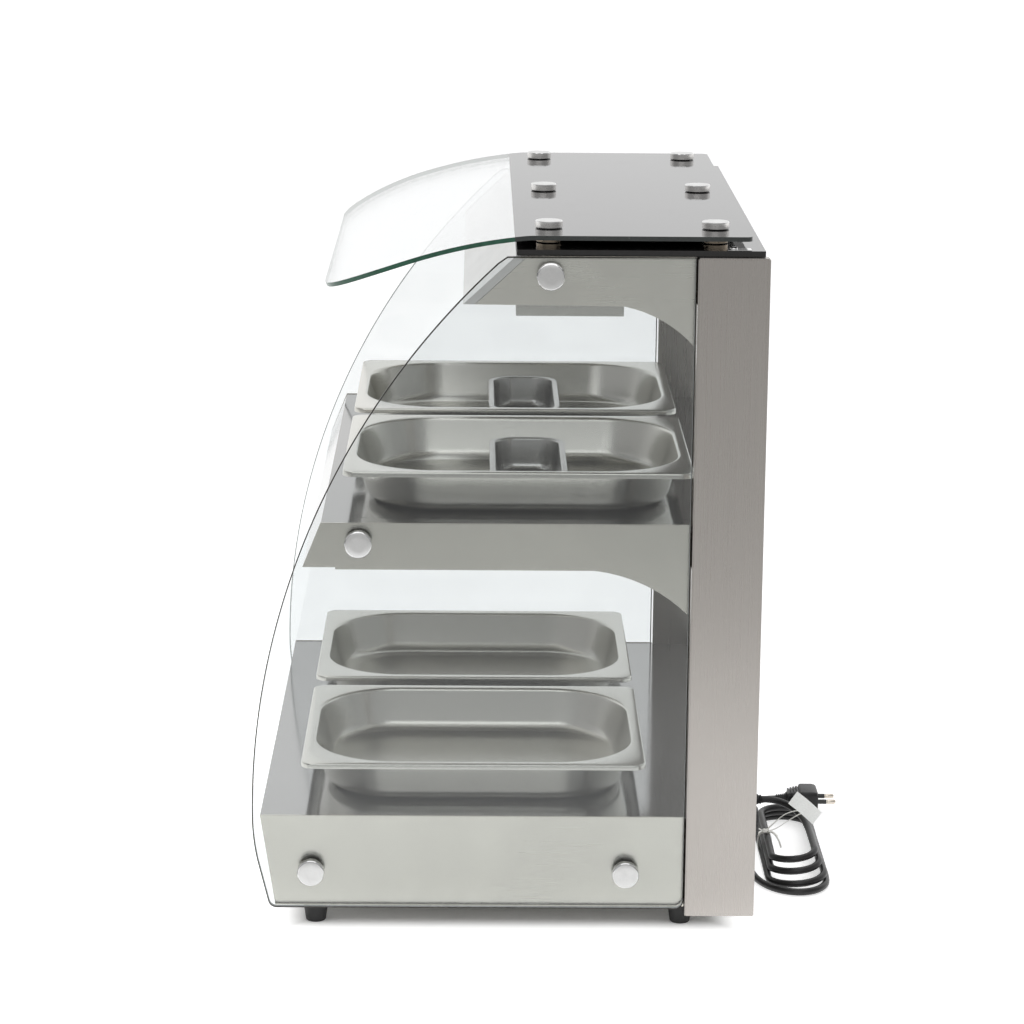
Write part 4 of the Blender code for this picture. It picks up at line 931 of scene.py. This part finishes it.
def make_pans():
    """Two pans on each deck, and a cup in each upper one."""
    top, rim = PAN_TOP, CUP_TOP
    lip = [(0.0, 0.012, top - 0.0050), (0.0, 0.012, top - 0.0016), (0.0002, 0.0118, top - 0.0008),
           (0.0007, 0.0115, top - 0.0002), (0.0014, 0.011, top), (0.0050, 0.030, top)]
    bowl = [(0.0084, 0.0780, top), (0.0098, 0.0775, top - 0.0004), (0.0109, 0.0770, top - 0.0016),
            (0.0118, 0.0760, top - 0.0050)]
    wall = [(0.0118, 0.076, top - 0.0050), (0.0183, 0.070, 0.0125), (0.0196, 0.069, 0.0085),
            (0.0222, 0.0665, 0.0045), (0.0262, 0.0630, 0.0018), (0.0315, 0.0600, 0.0008)]
    pan = lip + eased(bowl, 2)[:-1] + [wall[0]] + eased(wall[1:], 3) + [(0.0400, 0.054, 0.0008)]
    cup = [(0.0, 0.0260, rim - 0.0020), (0.0, 0.0260, rim - 0.0007),
           (0.0004, 0.0257, rim - 0.0001), (0.0010, 0.0252, rim), (0.0046, 0.0224, rim)]
    cup += eased([(0.0046, 0.0224, rim), (0.0056, 0.0214, rim - 0.0006),
                  (0.0061, 0.0208, rim - 0.0020)], 2)[1:]
    cup += eased([(0.0078, 0.0190, 0.0100), (0.0085, 0.0184, 0.0060), (0.0100, 0.0174, 0.0030),
                  (0.0125, 0.0158, 0.0012), (0.0160, 0.0136, 0.0008)], 3)
    cup.append((0.0210, 0.0100, 0.0008))
    for level, floor, y in (("lower", 0.1131, -0.0355), ("upper", 0.3942, 0.0045)):
        for side, hand, shift in ((-1, "left", -0.0030), (1, "right", 0.0195)):
            place = Vector((side * PAN_X, y, floor))
            node = "pan_%s_%s" % (level, hand)
            tray = pressed("tray_%s_%s" % (level, hand), pan, PAN_HALF, place, 20)
            dress(tray, node, "pan_steel", PAN)
            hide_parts(node)
            if level == "upper":
                place = Vector((side * PAN_X + shift, CUP_Y, floor + 0.0011))
                tray = pressed("insert_" + hand, cup, CUP_HALF, place, 12)
                dress(tray, "cup_" + hand, "pan_steel", SHADED_INSERT)
                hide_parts("cup_" + hand)


# ---- controls ----
def make_knob():
    """The thermostat's fluted knob with its white pointer."""
    rear = at(KNOB_X, PANEL_FACE + 0.0004, CONTROL_Z) @ TO_REAR
    bm = bmesh.new()
    grip = [(0.0, 0.0003), (0.0186, 0.0003), (0.0190, 0.0007), (0.0190, 0.0024),
            (0.0184, 0.0030), (0.0164, 0.0034), (0.0160, 0.0042), (0.0156, 0.0140),
            (0.0150, 0.0155), (0.0138, 0.0163), (0.0120, 0.0160), (0.0116, 0.0157), (0.0, 0.0157)]
    lathe(bm, grip, rear, 144,
          wave=lambda row, a: 0.00055 * min(0.0, math.cos(24 * a)) if 5 < row < 9 else 0.0)
    bmesh.ops.recalc_face_normals(bm, faces=bm.faces)
    bar(bm, (-0.0008, 0.0030, 0.0154), (0.0008, 0.0125, 0.01625), 0.0002, 2,
        rear @ Matrix.Rotation(math.pi, 4, "Z"))
    for face in bm.faces:
        local = rear.inverted() @ face.calc_center_median()
        if abs(local.x) < 0.00081 and abs(local.y) > 0.0029 and local.z > 0.01571:
            face.material_index = 1
    knob = settle(new_object("control_knob", bm), 35.0)
    dress(knob, "knob", "black_plastic", KNOB_BLACK, POINTER)
    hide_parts("thermostat_knob")


def make_dial():
    """Marks round the knob, every third one long.

    The bars face outwards as made, and recalculating normals turns ones this small inside out.
    """
    bm = bmesh.new()
    for k in range(28):
        a = math.radians(10.0 * k)
        tip = 0.0230 if k % 3 else 0.0245
        turn = at(KNOB_X, PANEL_FACE, CONTROL_Z) @ Matrix.Rotation(a, 4, Vector((0, -1, 0)))
        bar(bm, (-0.0003, 0.00005, 0.0212), (0.0003, 0.0003, tip), 0.00008, 1, turn)
    marks = settle(new_object("dial_marks", bm), 30.0)
    dress(marks, "case", "black_plastic", MARKS)


def make_rockers():
    """Softened copies of the two switches, each riding on its own body."""
    for word, colour, slot in (("heat", RED, "red_rocker"), ("light", GREEN, "green_rocker")):
        node = word + "_switch"
        piece = frame["nodes"][node].copy()
        piece.data = frame["nodes"][node].data.copy()
        piece.name = word + "_rocker_cap"
        piece.parent = None
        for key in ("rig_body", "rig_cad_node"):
            if key in piece:
                del piece[key]
        ROOT.objects.link(piece)
        bm = bmesh.new()
        bm.from_mesh(piece.data)
        bmesh.ops.remove_doubles(bm, verts=bm.verts, dist=1e-5)
        bmesh.ops.dissolve_limit(bm, angle_limit=math.radians(1), verts=bm.verts, edges=bm.edges)
        sharp = [e for e in bm.edges if e.calc_face_angle(0.0) > math.radians(12)]
        bmesh.ops.bevel(bm, geom=sharp, offset=0.0006, segments=3, affect="EDGES",
                        clamp_overlap=True)
        bm.to_mesh(piece.data)
        bm.free()
        settle(piece, 40.0)
        piece.data.materials.clear()
        dress(piece, word + "_rocker", slot, colour)
        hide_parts(node)


def make_screws():
    """Six round-headed screws with a socket, on the rear panel."""
    bm = bmesh.new()
    socket = [(0.0, 0.0004), (0.0011, 0.0004), (0.0013, 0.0018), (0.0020, 0.0020), (0.0029, 0.0013),
              (0.0032, 0.0002), (0.0, 0.0)]
    for x in (-0.2900, 0.2900, 0.0):
        for z in (0.0360, 0.1020):
            lathe(bm, socket, at(x, PANEL_FACE - 0.0001, z) @ TO_REAR, 24)
    finished("rear_panel_screws", bm, 30.0, "satin_metal", POLISHED)


# ---- small sheet details ----
def make_hems():
    """Folded edges on top of the side panels, just outside them."""
    bm = bmesh.new()
    for side in (-1, 1):
        left, right = sorted((side * 0.3049, side * 0.3054))
        for front, low, high in ((-0.2330, 0.1102, 0.1132), (-0.1730, 0.3911, 0.3938),
                                 (0.0040, 0.6392, 0.6418)):
            bar(bm, (left, front, low), (right, 0.1625, high), 0.0002)
    finished("panel_hems", bm, 40.0, "body_steel", PANEL)


def make_clips():
    """A screw head on a short clip at each rear corner of the top plate."""
    bm = bmesh.new()
    head = [(0.0, 0.6490), (0.0010, 0.6490), (0.0012, 0.6506), (0.0022, 0.6505), (0.0034, 0.6496),
            (0.0037, 0.6485), (0.0037, 0.6482), (0.0, 0.6481)]
    for side in (-1, 1):
        lathe(bm, head, at(side * 0.2965, 0.1960, 0.0), 32)
        left, right = sorted((side * 0.2900, side * 0.3030))
        bar(bm, (left, 0.1900, 0.6477), (right, 0.2120, 0.6482), 0.0002)
    finished("corner_clips", bm, 35.0, "satin_metal", POLISHED)


def make_lamp():
    """The quartz tube between its two ceramic ends."""
    low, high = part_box("halogen_lamp")
    middle, half = (low + high) / 2, (high.x - low.x) / 2
    r = min(high.y - low.y, high.z - low.z) / 2
    profile = [(0.0, -half), (r * 0.9, -half), (r, -half + 0.001), (r, -half + 0.020),
               (r * 0.9, -half + 0.021), (r * 0.62, -half + 0.022), (r * 0.62, -half + 0.030),
               (r * 0.80, -half + 0.036)]
    profile += [(a, -b) for a, b in reversed(profile)]
    index = [0] * 5 + [1] * 5 + [0] * 5
    turn = at(*middle) @ Matrix.Rotation(math.pi / 2, 4, "Y")
    tube = turned("lamp_tube", profile, turn, 40, 35.0, "lamp_glass", CERAMIC, QUARTZ, index=index)
    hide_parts("halogen_lamp")


# ---- finishes of the CAD nodes that stay ----
def finish_nodes():
    """Materials of the nodes that show their own mesh; a shown node without one is an error."""
    finishes = (
        (PANEL, ("base_side_panel_left", "base_side_panel_right", "shelf_side_panel_left",
                 "shelf_side_panel_right")),
        (LIT_STAINED_HOOD_PANEL, ("hood_side_panel_left", "hood_side_panel_right")),
        (SHEET_X, ("base_bottom_plate", "control_panel", "shelf_bottom_plate",
                   "hood_bottom_plate")),
        (HIGHLIGHTED_FRONT_SHEET, ("hood_front_panel",)), (PAN, ("lamp_reflector",)), (DECK, ("base_deck",)),
        (SHELF, ("shelf_deck",)), (UPRIGHT, ("pillar_left", "pillar_right")),
        (SHEATH, ("base_heating_element", "shelf_heating_element")), (ZINC, ("thermostat",)),
        (KNOB_BLACK, ("switch_block",)), (BLACK_PANE, ("top_plate",)),
        (DOOR_PANE, ("rear_door_left", "rear_door_right")),
        (TRACK, ("door_track_bottom", "door_track_top")))
    kept = {node: material for material, nodes in finishes for node in nodes}
    for node, material in kept.items():
        for slot in frame["nodes"][node].material_slots:
            slot.link = "OBJECT"
            slot.material = material
    shown = {n for n, o in frame["nodes"].items() if not o.hide_render}
    missing = sorted(shown - set(kept))
    if missing:
        raise RuntimeError("CAD nodes without a finish: %s" % missing)


make_canopy()
make_side_glass()
make_standoffs()
make_side_fixings()
make_feet()
make_pans()
make_knob()
make_dial()
make_rockers()
make_screws()
make_hems()
make_clips()
make_lamp()
finish_nodes()

bpy.context.scene.view_settings.view_transform = "Standard"
bpy.context.view_layer.update()
